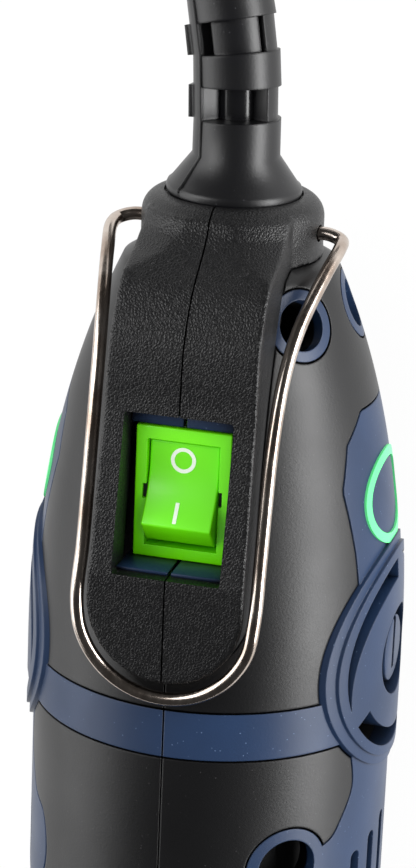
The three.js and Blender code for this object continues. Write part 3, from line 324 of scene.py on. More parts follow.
def spanNode(tree, value, low, high, newLow=0.0, newHigh=1.0):
    return addNode(tree, "ShaderNodeMapRange", {"Value": value, "From Min": low, "From Max": high,
                                                 "To Min": newLow, "To Max": newHigh}).outputs["Result"]


def noiseNode(tree, where, scale, detail, output="Fac"):
    return addNode(tree, "ShaderNodeTexNoise",
                   {"Vector": where, "Scale": scale, "Detail": detail}).outputs[output]


def ownPlace(tree):
    return addNode(tree, "ShaderNodeTexCoord").outputs["Object"]


def makeLeatherGrain():
    group, entry, way = newGroup("leatherGrain", {"Scale": 1300.0, "Wander": 0.0004}, ["Height", "Creases"])
    where = ownPlace(group)
    drift = noiseNode(group, where, 900.0, 2.0, "Color")
    pushed = addNode(group, "ShaderNodeVectorMath", {0: drift, "Scale": entry.outputs["Wander"]},
                     operation="SCALE").outputs[0]
    moved = addNode(group, "ShaderNodeVectorMath", {0: where, 1: pushed}, operation="ADD").outputs[0]
    cells = addNode(group, "ShaderNodeTexVoronoi", {"Vector": moved, "Scale": entry.outputs["Scale"]},
                    feature="DISTANCE_TO_EDGE").outputs["Distance"]
    pores = mathNode(group, "MULTIPLY", noiseNode(group, where, 5200.0, 2.0), 0.5)
    height = mathNode(group, "ADD", spanNode(group, cells, 0.0, 0.32), pores)
    group.links.new(height, way.inputs["Height"])
    group.links.new(spanNode(group, cells, 0.0, 0.1, 1.0, 0.0), way.inputs["Creases"])
    return group


def makeFineGrain():
    group, entry, way = newGroup("fineGrain", {"Scale": 3000.0}, ["Height", "Patches"])
    where = ownPlace(group)
    grain = addNode(group, "ShaderNodeTexNoise", {
        "Vector": where, "Scale": entry.outputs["Scale"], "Detail": 3.0, "Roughness": 0.6}).outputs["Fac"]
    group.links.new(grain, way.inputs["Height"])
    group.links.new(spanNode(group, noiseNode(group, where, 60.0, 3.0), 0.35, 0.65), way.inputs["Patches"])
    return group


def makeDustAndGlintSpecks():
    # Sparse light specks: dust on the surface together with painted glints of light on the grain.
    group, entry, way = newGroup("dustAndGlintSpecks", {"Scale": 2400.0, "Share": 0.06}, ["Mask"])
    scale = entry.outputs["Scale"]
    cells = addNode(group, "ShaderNodeTexVoronoi", {"Vector": ownPlace(group), "Scale": scale})
    near = mathNode(group, "LESS_THAN", cells.outputs["Distance"], 0.22)
    picked = addNode(group, "ShaderNodeSeparateColor", {"Color": cells.outputs["Color"]}).outputs["Red"]
    few = mathNode(group, "LESS_THAN", picked, entry.outputs["Share"])
    group.links.new(mathNode(group, "MULTIPLY", near, few), way.inputs["Mask"])
    return group


groups = {"leatherGrain": makeLeatherGrain(), "fineGrain": makeFineGrain(), "dustAndGlintSpecks": makeDustAndGlintSpecks()}


def useGroup(tree, name, **values):
    node = addNode(tree, "ShaderNodeGroup")
    node.node_tree = groups[name]
    for key, value in values.items():
        node.inputs[key].default_value = value
    return node


def blendColours(tree, amount, first, second):
    return addNode(tree, "ShaderNodeMix", {0: amount, 6: first, 7: second}, data_type="RGBA",
                   clamp_factor=True).outputs[2]


def scaled(colour, factor, extra=0.0):
    return tuple(min(1.0, c * factor + extra) for c in colour[:3]) + (1.0,)


def newMaterial(name):
    made = bpy.data.materials.new(name)
    made.use_nodes = True
    return made, made.node_tree, made.node_tree.nodes["Principled BSDF"]


# Moulded plastic or rubber: colour that drifts a little, specks of dust with painted glints and a grain.
# Rounding softens its edges and the hollow depth paints shade that blackens its deep slots, both in
# millimetres, as grain depth is.
def plastic(name, colour, rough, other=None, leather=False, scale=3000.0, depth=0.02, strength=0.3,
            specks=0.04, speckColour=None, roughSpan=0.06, specular=0.5, coat=0.0, coatRough=0.3, sheen=0.0,
            creaseShade=0.0, rounding=0.0, hollowShade=0.0):
    made, tree, shader = newMaterial(name)
    colour = tint(*colour)
    fineNode = useGroup(tree, "fineGrain", Scale=3000.0 if leather else scale)
    patches = fineNode.outputs["Patches"]
    shade = blendColours(tree, patches, colour, tint(*other) if other else scaled(colour, 0.86))
    grainNode = fineNode
    if leather:
        grainNode = useGroup(tree, "leatherGrain", Scale=scale)
        # Painted shade: the leather grain's creases are darkened in colour.
        shade = blendColours(tree, grainNode.outputs["Creases"], shade, scaled(colour, 1 - creaseShade))
    # Light specks: dust together with painted glints.
    if specks:
        mask = mathNode(tree, "MULTIPLY", useGroup(tree, "dustAndGlintSpecks", Share=specks).outputs["Mask"], 0.6)
        dustAndGlint = tint(*speckColour) if speckColour else scaled(colour, 2.2, 0.01)
        shade = blendColours(tree, mask, shade, dustAndGlint)
    # Painted shade: the colour goes to near black where ambient occlusion finds the surface closed in, in
    # slots and vents.
    if hollowShade:
        exposed = addNode(tree, "ShaderNodeAmbientOcclusion", {"Distance": hollowShade * mm}, samples=8)
        exposed = spanNode(tree, exposed.outputs["AO"], 0.3, 0.62)
        shade = blendColours(tree, exposed, (0.001, 0.001, 0.001, 1), shade)
    tree.links.new(shade, shader.inputs["Base Color"])
    tree.links.new(spanNode(tree, patches, 0, 1, rough - roughSpan / 2, rough + roughSpan / 2),
                   shader.inputs["Roughness"])
    bump = addNode(tree, "ShaderNodeBump", {"Strength": strength, "Distance": depth * mm,
                                             "Height": grainNode.outputs["Height"]})
    if rounding:
        soft = addNode(tree, "ShaderNodeBevel", {"Radius": rounding * mm}, samples=6)
        tree.links.new(soft.outputs["Normal"], bump.inputs["Normal"])
    tree.links.new(bump.outputs["Normal"], shader.inputs["Normal"])
    for socket, value in (("Specular IOR Level", specular), ("Coat Weight", coat),
                          ("Coat Roughness", coatRough), ("Sheen Weight", sheen)):
        shader.inputs[socket].default_value = value
    return made


# Metal: a drawn or turned surface, streaked along one axis, with a little tarnish.
def metal(name, colour, rough, other=None, streaks=(1.0, 1.0, 1.0), scale=900.0, strength=0.15, depth=0.01,
          tarnish=0.4):
    made, tree, shader = newMaterial(name)
    colour = tint(*colour)
    where = ownPlace(tree)
    pulledOut = addNode(tree, "ShaderNodeMapping", {"Vector": where, "Scale": streaks}).outputs[0]
    lines = noiseNode(tree, pulledOut, scale, 4.0)
    stain = spanNode(tree, noiseNode(tree, where, 160.0, 3.0), 0.4, 0.7)
    amount = mathNode(tree, "MULTIPLY", stain, tarnish)
    shade = blendColours(tree, amount, colour, tint(*other) if other else scaled(colour, 0.7))
    tree.links.new(shade, shader.inputs["Base Color"])
    tree.links.new(spanNode(tree, lines, 0.3, 0.7, rough * 0.75, rough * 1.3), shader.inputs["Roughness"])
    bump = addNode(tree, "ShaderNodeBump", {"Strength": strength, "Distance": depth * mm, "Height": lines})
    tree.links.new(bump.outputs["Normal"], shader.inputs["Normal"])
    shader.inputs["Metallic"].default_value = 1.0
    return made


# The light speck colours are dust together with painted glints, in the tones of the lit grain.
slotMaterials = {
    # The slate blue has painted shade in its deep slots and vents.
    "blue_shell": plastic(
        "slateBluePlastic", (26, 45, 74), 0.4, (22, 40, 67), scale=2600.0, depth=0.03, strength=0.4,
        specular=0.36, specks=0.03, speckColour=(95, 115, 145), rounding=0.3, hollowShade=5.0),
    "soft_black": plastic(
        "softTouchBlack", (9, 9, 11), 0.42, (7, 7, 9), scale=2600.0, depth=0.04, strength=0.55, specks=0.03,
        speckColour=(62, 60, 62), rounding=0.35),
    # The grained black has painted shade in its grain's creases.
    "grain_black": plastic(
        "grainedBlack", (9, 9, 11), 0.42, (7, 7, 9), leather=True, scale=2100.0, depth=0.06, strength=0.8,
        specks=0.03, speckColour=(75, 72, 74), creaseShade=0.2),
    "rubber": plastic(
        "reliefRubber", (14, 14, 17), 0.38, (11, 11, 13), scale=2300.0, depth=0.04, strength=0.5, specks=0.02,
        speckColour=(70, 70, 74), rounding=0.5),
    "cable": plastic("cableSheath", (16, 16, 18), 0.22, scale=1500.0, depth=0.01, strength=0.1, specks=0.01),
    "black_plastic": plastic("plainBlackPlastic", (31, 31, 33), 0.4, scale=2600.0),
    "green_plastic": plastic(
        "switchGreen", (112, 232, 0), 0.35, (104, 224, 0), depth=0.008, strength=0.25, specks=0.0, coat=0.25,
        coatRough=0.2, roughSpan=0.04, rounding=0.15),
    "bright_steel": metal("groundSteel", (205, 204, 200), 0.25, streaks=(0.2, 1, 1), scale=1500.0),
    "dark_steel": metal("dullSteel", (120, 119, 118), 0.42, scale=1200.0, strength=0.25),
    "brass": metal("plainBrass", (205, 178, 104), 0.3, scale=1300.0, tarnish=0.5),
    "copper": metal(
        "enamelledCopper", (176, 96, 52), 0.32, streaks=(1, 0.3, 1), scale=2400.0, strength=0.5, depth=0.05),
    "carbon": plastic("graphiteBlock", (40, 40, 42), 0.6, scale=2200.0, depth=0.03),
    "circuit_board": plastic(
        "circuitBoard", (44, 96, 60), 0.4, scale=1700.0, specks=0.1, speckColour=(190, 190, 180)),
    "amber_plastic": plastic("capacitorCase", (150, 106, 48), 0.35, scale=1800.0, depth=0.01),
    "fabric_tie": plastic(
        "hookAndLoopTape", (38, 38, 41), 0.85, scale=5200.0, depth=0.25, strength=0.9, specks=0.08,
        sheen=0.4)}
# The inner shell is painted near black: painted shade that blackens what shows through the vents and slots.
shadowBlack = plastic("shellInsidePaintedShade", (7, 8, 10), 0.7, scale=2000.0, specks=0.0, specular=0.2)
# Near-black laminations for the stator and armature cores: painted shade, so that the motor seen through the
# vents stays dark.
paintedShadeLaminations = plastic("laminationsPaintedShade", (16, 16, 17), 0.5, scale=2600.0, depth=0.05, specks=0.0,
                    specular=0.4)
white = plastic("markWhite", (232, 240, 226), 0.45, (220, 232, 214), scale=2500.0, depth=0.006, specks=0.0)
badgeGreen = plastic("badgeGreen", (88, 214, 132), 0.4, (78, 200, 120), scale=2600.0, depth=0.015,
                     specks=0.02)
wire = metal("bentWire", (212, 200, 190), 0.2, (150, 128, 112), streaks=(0.15, 1.0, 1.0), scale=1400.0,
             strength=0.12, depth=0.008, tarnish=0.75)

slotOf = {entry["node"]: entry["material_slot"] for entry in frame["record"]["subparts"]}
for nodeName, cadNode in frame["nodes"].items():
    cadNode.data.materials.clear()
    # The motor cores take the near-black painted shade.
    coreInShade = nodeName in ("stator_core", "armature_core")
    cadNode.data.materials.append(paintedShadeLaminations if coreInShade else slotMaterials[slotOf[nodeName]])
print("materials made")


# ---- Floor, light and world

stage = {"floorSize": 6.0, "floorShade": 0.9, "floorGlow": 0.93, "worldInGloss": 0.04,
         "aim": (-0.03, 0, 0.03)}
lamps = {"left": ((-0.05, -0.62, 0.3), 0.9, 0.5, 4.0), "right": ((-0.08, 0.66, 0.17), 0.9, 0.3, 9.0),
         "upper": ((-0.32, -0.42, 0.54), 0.35, 0.35, 1.5)}


# The floor looks white to the camera and in gloss, and lights the tool as a pale floor does.
def addFloor():
    bpy.ops.mesh.primitive_plane_add(size=stage["floorSize"], location=(0, 0, 0))
    floor = bpy.context.object
    floor.name = "studioFloor"
    made, tree, shader = newMaterial("paleFloor")
    shader.inputs["Base Color"].default_value = (stage["floorShade"],) * 3 + (1,)
    shader.inputs["Roughness"].default_value = 0.9
    path = addNode(tree, "ShaderNodeLightPath")
    seen = mathNode(tree, "MAXIMUM", path.outputs["Is Camera Ray"], path.outputs["Is Glossy Ray"])
    glow = addNode(tree, "ShaderNodeEmission", {"Color": (1, 1, 1, 1), "Strength": 1.0})
    mixed = addNode(tree, "ShaderNodeMixShader", {0: mathNode(tree, "MULTIPLY", seen, stage["floorGlow"]),
                                                   1: shader.outputs[0], 2: glow.outputs[0]})
    tree.links.new(mixed.outputs[0], tree.nodes["Material Output"].inputs["Surface"])
    floor.data.materials.append(made)


# The world is white, and nearly dark in gloss, so that black plastic keeps its depth.
def addWorld():
    world = bpy.data.worlds.new("paleRoom")
    bpy.context.scene.world = world
    world.use_nodes = True
    tree = world.node_tree
    back = tree.nodes["Background"]
    path = addNode(tree, "ShaderNodeLightPath")
    dim = mathNode(tree, "MULTIPLY", path.outputs["Is Glossy Ray"], 1 - stage["worldInGloss"])
    tree.links.new(mathNode(tree, "SUBTRACT", 1.0, dim), back.inputs["Strength"])
    back.inputs["Color"].default_value = (1, 1, 1, 1)


def addLamps():
    for name, (place, width, height, power) in lamps.items():
        bpy.ops.object.light_add(type="AREA", location=place)
        lamp = bpy.context.object
        lamp.name = name + "Softbox"
        lamp.data.shape = "RECTANGLE"
        lamp.data.size, lamp.data.size_y = width, height
        lamp.data.energy = power
        lamp.rotation_euler = (Vector(stage["aim"]) - Vector(place)).to_track_quat("-Z", "Y").to_euler()


addFloor()
addWorld()
addLamps()
bpy.context.scene.view_settings.view_transform = "Standard"
print("stage ready")


# ---- Lead: one cable from the rear face, down to the table, through the hank and over it to the plug

lead = {
    "radius": 3.3, "run": 118.0, "turnsPerLayer": 1.75, "innerRadius": 21.6, "pitch": 7.1, "lift": 1.0,
    "gap": 0.3, "stepsPerTurn": 48,
    "route": [[0, 0, 0], [-8, 0.1, 0], [-14, -0.1, -0.2], [-20, -0.5, -0.6], [-26, -1.5, -1.2],
              [-32, -3, -2], [-38, -4.9, -3.3], [-44, -7.2, -5.8], [-50, -10.2, -9.4], [-56, -14.3, -13.3],
              [-62, -19, -16.9], [-68, -23.6, -19.8], [-74, -27.8, -22], [-80, -31.3, -23.4],
              [-86, -33.4, -24], [-92, -34, -24.1]],
    "tail": [[0, 0, 11.4], [7, 0, 11.4], [13, 0.1, 12.6], [21, 0.9, 15.4], [28, 3, 18], [34, 6.1, 18.8],
             [40, 10, 18.5], [46, 14.4, 16.7], [52, 18.7, 13.6], [58, 22.6, 9.8], [64, 25.9, 6.4],
             [69, 28.1, 4.7], [73.5, 29.5, 4.4], [79.5, 30.7, 6.3]]}


# A smooth line through points that keeps even bends, sampled a few times between each pair.
def smoothLine(points, between=8):
    points = [Vector(p) for p in points]
    ends = [points[0] * 2 - points[1]] + points + [points[-1] * 2 - points[-2]]
    line = []
    for i in range(1, len(ends) - 2):
        before, start, end, after = ends[i - 1:i + 3]
        first, middle, last = [max(1e-4, (q - p).length ** 0.5)
                               for p, q in ((before, start), (start, end), (end, after))]
        out = ((start - before) / first - (end - before) / (first + middle) + (end - start) / middle) * middle
        into = ((end - start) / middle - (after - start) / (middle + last) + (after - end) / last) * middle
        for k in range(between):
            t = k / between
            line.append(start + out * t + (end * 3 - start * 3 - out * 2 - into) * t * t
                        + (start * 2 - end * 2 + out + into) * t ** 3)
    return line + [points[-1]]


# Lead points are in the tool's frame: station, across, height from the axis.
leadLine = smoothLine(lead["route"])
hankOuter = lead["innerRadius"] + lead["pitch"] * lead["turnsPerLayer"]
hankTurns = lead["turnsPerLayer"] * 2 + 0.5
hankCentre = leadLine[-1] + Vector((-lead["gap"] - 2 * lead["radius"] - lead["run"] / 2, hankOuter, 0))


# The near fold has end 1 and the far fold has end -1.
def hankPoint(turn, end):
    turns, pitch = lead["turnsPerLayer"], lead["pitch"]
    radius = hankOuter - pitch * turn
    if turn >= turns + 0.25:
        radius = lead["innerRadius"] + pitch * (turn - turns - 0.5)
    climb = min(1.0, max(0.0, (turn - turns) / 0.5))
    height = lead["radius"] + lead["lift"] + pitch * climb * climb * (3 - 2 * climb) - axisZ
    angle = -math.pi / 2 - 2 * math.pi * turn
    return Vector((hankCentre.x + end * lead["run"] / 2 + radius * math.cos(angle),
                   hankCentre.y + radius * math.sin(angle), height))


def hankLine():
    steps = lead["stepsPerTurn"]
    line = []
    for i in range(int(hankTurns * steps) + 1):
        turn = i / steps
        end = -1 if math.floor(turn * 2) % 2 == 0 else 1
        atRun = i % (steps // 2) == 0
        if atRun:
            line.append(hankPoint(turn, -end))
        if not atRun or i < hankTurns * steps:
            line.append(hankPoint(turn, end))
    return line


coilLine = hankLine()
tailStart = coilLine[-1] - Vector((2 * lead["radius"] + lead["gap"], 0, 0))
tailLine = smoothLine([[tailStart.x - along, tailStart.y + inward, height - axisZ]
                       for along, inward, height in lead["tail"]])
cordLine = leadLine + coilLine + tailLine
lead["length"] = sum((q - p).length for p, q in zip(cordLine, cordLine[1:])) * mm
print("lead is %.3f m from the rear face" % lead["length"])


# A round bar or cable of even thickness along a line, as a curve.
def barAlong(name, line, radius, sides=6):
    deselectAll()
    data = bpy.data.curves.new(name, "CURVE")
    data.dimensions = "3D"
    data.bevel_depth = radius
    data.bevel_resolution = sides
    data.use_fill_caps = True
    spline = data.splines.new("POLY")
    spline.points.add(len(line) - 1)
    for point, place in zip(spline.points, line):
        point.co = (*place, 1)
    spline.use_smooth = True
    piece = bpy.data.objects.new(name, data)
    bpy.context.collection.objects.link(piece)
    return piece


cord = barAlong("leadCable", [toolToPart @ p for p in cordLine], lead["radius"] * mm, 5)
cord.data.materials.append(slotMaterials["cable"])
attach(cord, "housing")
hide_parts("cord", "cord_hank", "cord_tail")
print("lead laid")


# ---- Body outline and the regions cut from it

far = 60
skinGap = 0.35


def bodyRadius(station):
    at = np.atleast_1d(np.asarray(station, dtype=float))
    start, length = body["shoulderStart"], body["bandStart"] - body["shoulderStart"]
    left = np.clip(1 - (at - start) / length, 0, 1)
    radius = body["radius"] - (body["radius"] - body["shoulderRadius"]) * left ** body["shoulderPower"]
    step = body["shoulderRadius"] - body["neckRadius"]
    radius = np.where(at < start, body["neckRadius"] + step * np.clip(at - (start - 1), 0, 1), radius)
    along = np.clip((at - body["barrelEnd"]) / (body["noseStart"] - body["barrelEnd"]), 0, 1)
    return radius - (body["radius"] - body["noseRadius"]) * (0.5 - 0.5 * np.cos(np.pi * along))


def radiusAt(station):
    return float(bodyRadius(station)[0])


# The body's outline, drawn in by a depth all along, as one smooth turned solid.
def bodySolid(name, depth, start=0.0, end=None, steps=192):
    end = body["noseEnd"] if end is None else end
    count = max(2, int((end - start) / 1.2))
    stations = [start + (end - start) * i / count for i in range(count + 1)]
    profile = [(s, radiusAt(s) - depth) for s in stations]
    if start == 0:
        bend = body["neckRound"]
        corner = body["neckRadius"] - depth - bend
        angles = [math.radians(11.25 * i) for i in range(9)]
        profile = [(bend * (1 - math.cos(a)), corner + bend * math.sin(a)) for a in angles] + [
            p for p in profile if p[0] > bend + 0.3]
    if end == body["noseEnd"]:
        bend = body["edgeRound"]
        corner = body["noseRadius"] - depth - bend
        angles = [math.radians(22.5 * i) for i in range(5)]
        profile = [p for p in profile if p[0] < end - bend - 0.3] + [
            (end - bend + bend * math.sin(a), corner + bend * math.cos(a)) for a in angles]
    return turned(name, [(profile[0][0], 0), *profile, (profile[-1][0], 0)], steps)


# A shape's outline moved outwards by an even margin.
def grown(outline, margin):
    count = len(outline)
    area = sum(outline[i][0] * outline[(i + 1) % count][1] - outline[i][1] * outline[(i + 1) % count][0]
               for i in range(count))
    side = margin if area > 0 else -margin
    moved = []
    for i, (x, y) in enumerate(outline):
        (px, py), (qx, qy) = outline[i - 1], outline[(i + 1) % count]
        before = Vector((y - py, px - x)).normalized()
        after = Vector((qy - y, x - qx)).normalized()
        middle = (before + after).normalized()
        reach = side / max(0.4, middle.dot(after))
        moved.append((x + middle.x * reach, y + middle.y * reach))
    return moved


def smoothOutline(points):
    return [(p.x, p.y) for p in smoothLine([(x, y, 0) for x, y in points], 5)]


vent = {
    "station": 71.5, "radius": 18.8, "rise": 0.6, "slope": 1.5, "crown": 1.1, "slotOuter": 15.7,
    "slotInner": 12.4, "slotSweep": 108.0, "slotStart": 4.0, "slotSteps": 24, "depth": 16.0,
    "wellRadius": 7.35, "wellFloor": 23.4}
panel = {
    "rear": [[-13.5, 11.9], [-19.8, 12.3], [-29.4, 13.4], [-30.2, 13.3], [-36.3, 11.1], [-36.8, 10.6],
             [-40.4, 6.5], [-40.6, 5.9]],
    "front": [[13.5, 12.4], [19.5, 11.7], [24.4, 13.8], [27.1, 15.5], [29, 18.2], [36, 19.4], [45, 17],
              [58.5, 13.5], [66.5, 9.2], [69.2, 4.6], [69.8, 0]]}
holes = {
    "shoulderStation": 16.5, "shoulderRadius": 3.9, "shoulderRim": 1.6,
    "shoulderAngles": [50, 100, 150, -100, -150], "gripStation": 102.0, "gripAngle": 41.0, "gripRadius": 4.9,
    "gripRim": 1.9, "reach": 9}
screws = {"rear_lower": (14.0, -11.2), "rear_middle": (49.5, -1.0), "front_upper": (146.0, 13.5),
          "front_lower": (146.0, -13.5), "nose_lower": (173.0, -11.2)}
screwHead = 3.0
nose = {
    "capStart": 178.0, "capEnd": 189.7, "capRadius": 14.0, "bore": 8.5, "collar": 10.8, "collarStart": 176.0,
    "collarEnd": 187.0, "flutes": 30, "nutStart": 190.3, "nutRadius": 7.0, "nutLength": 13.0, "nutBore": 4.9,
    "nutThroat": 3.05, "colletRadius": 2.9, "colletBore": 1.6, "colletLength": 17.7, "tip": 207.7,
    "lockStation": 172.7, "lockRadius": 4.2, "lockTop": 21.2, "lockFoot": 17.7, "lockSeat": 14.4,
    "lockPin": 1.3, "lockPinEnd": 7.4, "springRoom": 3.1}
dial = {
    "station": 35.0, "radius": 10.0, "width": 5.0, "centre": -16.3, "teeth": 24, "shaft": 2.8, "room": 0.6,
    "roomTop": -12}
louvre = {"count": 5, "pitch": 5.0, "width": 2.2, "start": 100.0, "end": 131.0, "slants": [0.3, 0.5]}


# The rear part has plain corners and the front part flows.
def panelOutline():
    rear = panel["rear"] + [[x, -y] for x, y in reversed(panel["rear"])]
    front = smoothOutline([[x, -y] for x, y in panel["front"][:-1]] + list(reversed(panel["front"])))
    return [(vent["station"] + x, y) for x, y in rear + front]


# A rod that stands square to the body's surface, at an angle from the top towards the right.
def squareTo(name, station, angle, radius):
    slope = math.atan2(radiusAt(station + 1) - radiusAt(station - 1), 2)
    pin = rod(name, radius, -holes["reach"], holes["reach"], 48, "Z")
    spin(pin, -math.degrees(slope), "Y")
    shift(pin, (station, 0, radiusAt(station)))
    return spin(pin, -angle, "X")


def ventPlaces():
    places = [(holes["shoulderStation"], a, holes["shoulderRadius"], holes["shoulderRim"])
              for a in holes["shoulderAngles"]]
    return places + [(holes["gripStation"], holes["gripAngle"], holes["gripRadius"], holes["gripRim"])]


def blueRegion(margin):
    region = cleanUp(pulled("region", grown(panelOutline(), margin), -far, far, "Y"))
    joined(region, rod("disc", vent["radius"] + margin, -far, far, 128, "Y", (vent["station"], 0, 0)),
           rod("band", far, body["bandStart"] - margin, body["bandEnd"] + margin, 64, "X"),
           rod("nose", far, body["noseStart"] - margin, 220, 64, "X"))
    for station, angle, radius, rim in ventPlaces():
        joined(region, squareTo("rim", station, angle, radius + rim + margin))
    return region


def crescentOutline(startAngle):
    outer, inner = [], []
    at, steps, wide, narrow = vent["station"], vent["slotSteps"], vent["slotOuter"], vent["slotInner"]
    for i in range(steps + 1):
        angle = math.radians(startAngle + vent["slotSweep"] * i / steps)
        near = narrow + (wide - narrow) * (i / steps) ** 2.2
        outer.append((at - wide * math.cos(angle), wide * math.sin(angle)))
        inner.append((at - near * math.cos(angle), near * math.sin(angle)))
    return outer + inner[-2::-1]


def louvreOutline(height):
    start = louvre["start"] + abs(height) * louvre["slants"][0]
    end = louvre["end"] - abs(height) * louvre["slants"][1]
    half = louvre["width"] / 2
    ends = []
    for centre, turnFrom in ((end - half, 90), (start + half, -90)):
        for i in range(9):
            angle = math.radians(turnFrom - 22.5 * i)
            ends.append((centre + half * math.cos(angle), height + half * math.sin(angle)))
    return ends


def ventCutters():
    cutters = []
    for side in (-1, 1):
        low, high = sorted((side * vent["depth"], side * 40))
        for turn in (0, 120, 240):
            cutters.append(pulled("crescent", crescentOutline(turn + vent["slotStart"]), low, high, "Y"))
        for i in range(louvre["count"]):
            height = (i - (louvre["count"] - 1) / 2) * louvre["pitch"]
            cutters.append(pulled("louvre", louvreOutline(height), low, high, "Y"))
        low, high = sorted((side * vent["wellFloor"], side * 40))
        cutters.append(rod("brushWell", vent["wellRadius"], low, high, 64, "Y", (vent["station"], 0, 0)))
    cutters += [squareTo("hole", station, angle, radius) for station, angle, radius, rim in ventPlaces()]
    return [cleanUp(cutter) for cutter in cutters]


def flatUnderneath(piece):
    return cutFrom(piece, block("table", -10, 230, -far, far, -90, body["floorCut"]))


# Room for the speed dial, open below.
def dialRoom(sideGap):
    at, reach, half = dial["station"], dial["radius"] + dial["room"], dial["width"] / 2 + sideGap
    return block("dialRoom", at - reach, at + reach, -half, half, -far, dial["roomTop"])


def cutScrewHoles(piece):
    for station, height in screws.values():
        cutFrom(piece, rod("headHole", screwHead, -far, -8, 32, "Y", (station, 0, height)))


# ---- Soft overmould: shoulder and neck behind the band, grip ahead of it

pod = {
    "start": 1.5, "rearHalf": 11.4, "half": 12.3, "endCentre": 57.5,
    "neck": [[1.5, 13.9], [3, 14.4], [5, 15.9], [7.5, 18.6]],
    "rise": [[10.9, 5.1], [17.7, 5.6], [22, 4.7], [27.6, 3.3], [34, 2.7], [42, 2.5], [53.3, 3.1]],
    "corners": [[0, 14], [1.5, 14.2], [4, 15.6], [6, 18], [8, 21.5], [10, 26], [12, 40]],
    "recessCentre": 40.8, "recessLength": 24.4, "recessWidth": 17.0,
    "innerWell": [28, 55, -9.4, 9.4, 5, 60], "flangeSeat": [10.75, -1, 0.65], "leadBore": [6.2, -1, 4]}
bail = {
    "wire": 1.05, "station": 5.0, "height": 1.0, "out": 13.9,
    "foot": [[5, 12.4, 1], [5, 15.6, 1.1], [5.6, 17.7, 1.8], [6.2, 18.1, 4.6]],
    "leg": [[9, 3.3, -4.9], [16, 1.4, -2], [22.8, 0.5, -0.3], [31.8, 0.1, 0.1], [40.7, 0, 0.1],
            [49.7, 0, 0.5]],
    "bendCentre": 58.5, "bendRadius": 13.9, "bendHeight": 30.5}


def podOutline():
    arc = [(pod["endCentre"] + pod["half"] * math.cos(a), pod["half"] * math.sin(a))
           for a in (math.radians(90 - 7.5 * i) for i in range(25))]
    return [(pod["start"], -pod["rearHalf"]), (pod["start"], pod["rearHalf"])] + arc


def makeOvermould():
    outer = bodySolid("rearSkin", 0, body["shoulderStart"] - 0.8, body["bandStart"] - body["gap"])
    cutFrom(outer, bodySolid("hollow", body["skin"], 2, 90, 96), blueRegion(skinGap),
            cleanUp(pulled("podRoom", grown(podOutline(), 0.12), 0, far, "Z")),
            dialRoom(0.4))
    settleHalves(flatUnderneath(outer), "shoulderSkin", "soft_black", "rear_overmould")


def makeGrip():
    outer = bodySolid("gripSkin", 0, body["bandEnd"] + body["gap"], body["noseStart"] - body["gap"])
    cutFrom(outer, bodySolid("hollow", body["skin"], 70, 175, 96), blueRegion(skinGap))
    cutScrewHoles(outer)
    settleHalves(flatUnderneath(outer), "gripSkin", "soft_black", "front_grip")


makeOvermould()
print("shoulder made")
makeGrip()
print("grip made")


# ---- Blue hard shell: raised panels, vent discs, band and rims, over an inner shell painted near black as painted shade

# The vent disc stands up from the body with a sloping edge all round.
def ventDisc():
    raised = []
    for radius, rise in ((vent["radius"], vent["rise"]), (vent["radius"] - vent["slope"], vent["crown"])):
        disc = rod("disc", radius, -far, far, 192, "Y", (vent["station"], 0, 0))
        raised.append(overlapOf(bodySolid("raised", -rise, 40, 100), disc))
    return joined(*raised)


def makeShell():
    bore, collar, gap = nose["bore"], nose["collar"], body["gap"]
    start, end = nose["collarStart"], nose["collarEnd"] - gap
    outer = joined(overlapOf(bodySolid("blueSkin", 0), blueRegion(0)), ventDisc())
    cutFrom(outer, bodySolid("hollow", body["skin"] + gap, 2, start, 96), *ventCutters(),
            rod("noseBore", bore, 150, 190, 64, "X"))
    joined(outer, ring("collar", [(start, bore), (start, collar), (end, collar), (end, bore)], 96))
    flatUnderneath(outer)
    inner = bodySolid("innerShell", body["skin"] + 0.05, 9.5, body["noseEnd"] - 1.5, 96)
    cutFrom(inner, bodySolid("hollow", body["skin"] + body["innerWall"], 8, 168, 64),
            rod("bore", bore, -5, 190, 48, "X"), block("switchWell", *pod["innerWell"]), dialRoom(0.3),
            *ventCutters())
    at = (nose["lockStation"], 0, 0)
    for part in (outer, inner):
        cutFrom(part, rod("lockBore", nose["lockRadius"] + gap, nose["lockSeat"], far, 48, "Z", at),
                rod("lockPinBore", nose["lockPin"] + 2 * gap, 5, far, 32, "Z", at))
        cutScrewHoles(part)
    settleHalves(outer, "blueShell", "blue_shell", "shell", 35)
    # The inner shell halves carry the near-black painted shade.
    settleHalves(inner, "innerShell", "blue_shell", gap=0.02, material=shadowBlack)


makeShell()
print("shell made")


# ---- Switch pod: a raised saddle from the neck to just short of the band, with the switch in a well

def softened(piece, width, segments=3, angle=30):
    return modify(piece, "BEVEL", width=width, segments=segments, limit_method="ANGLE",
                  angle_limit=math.radians(angle))


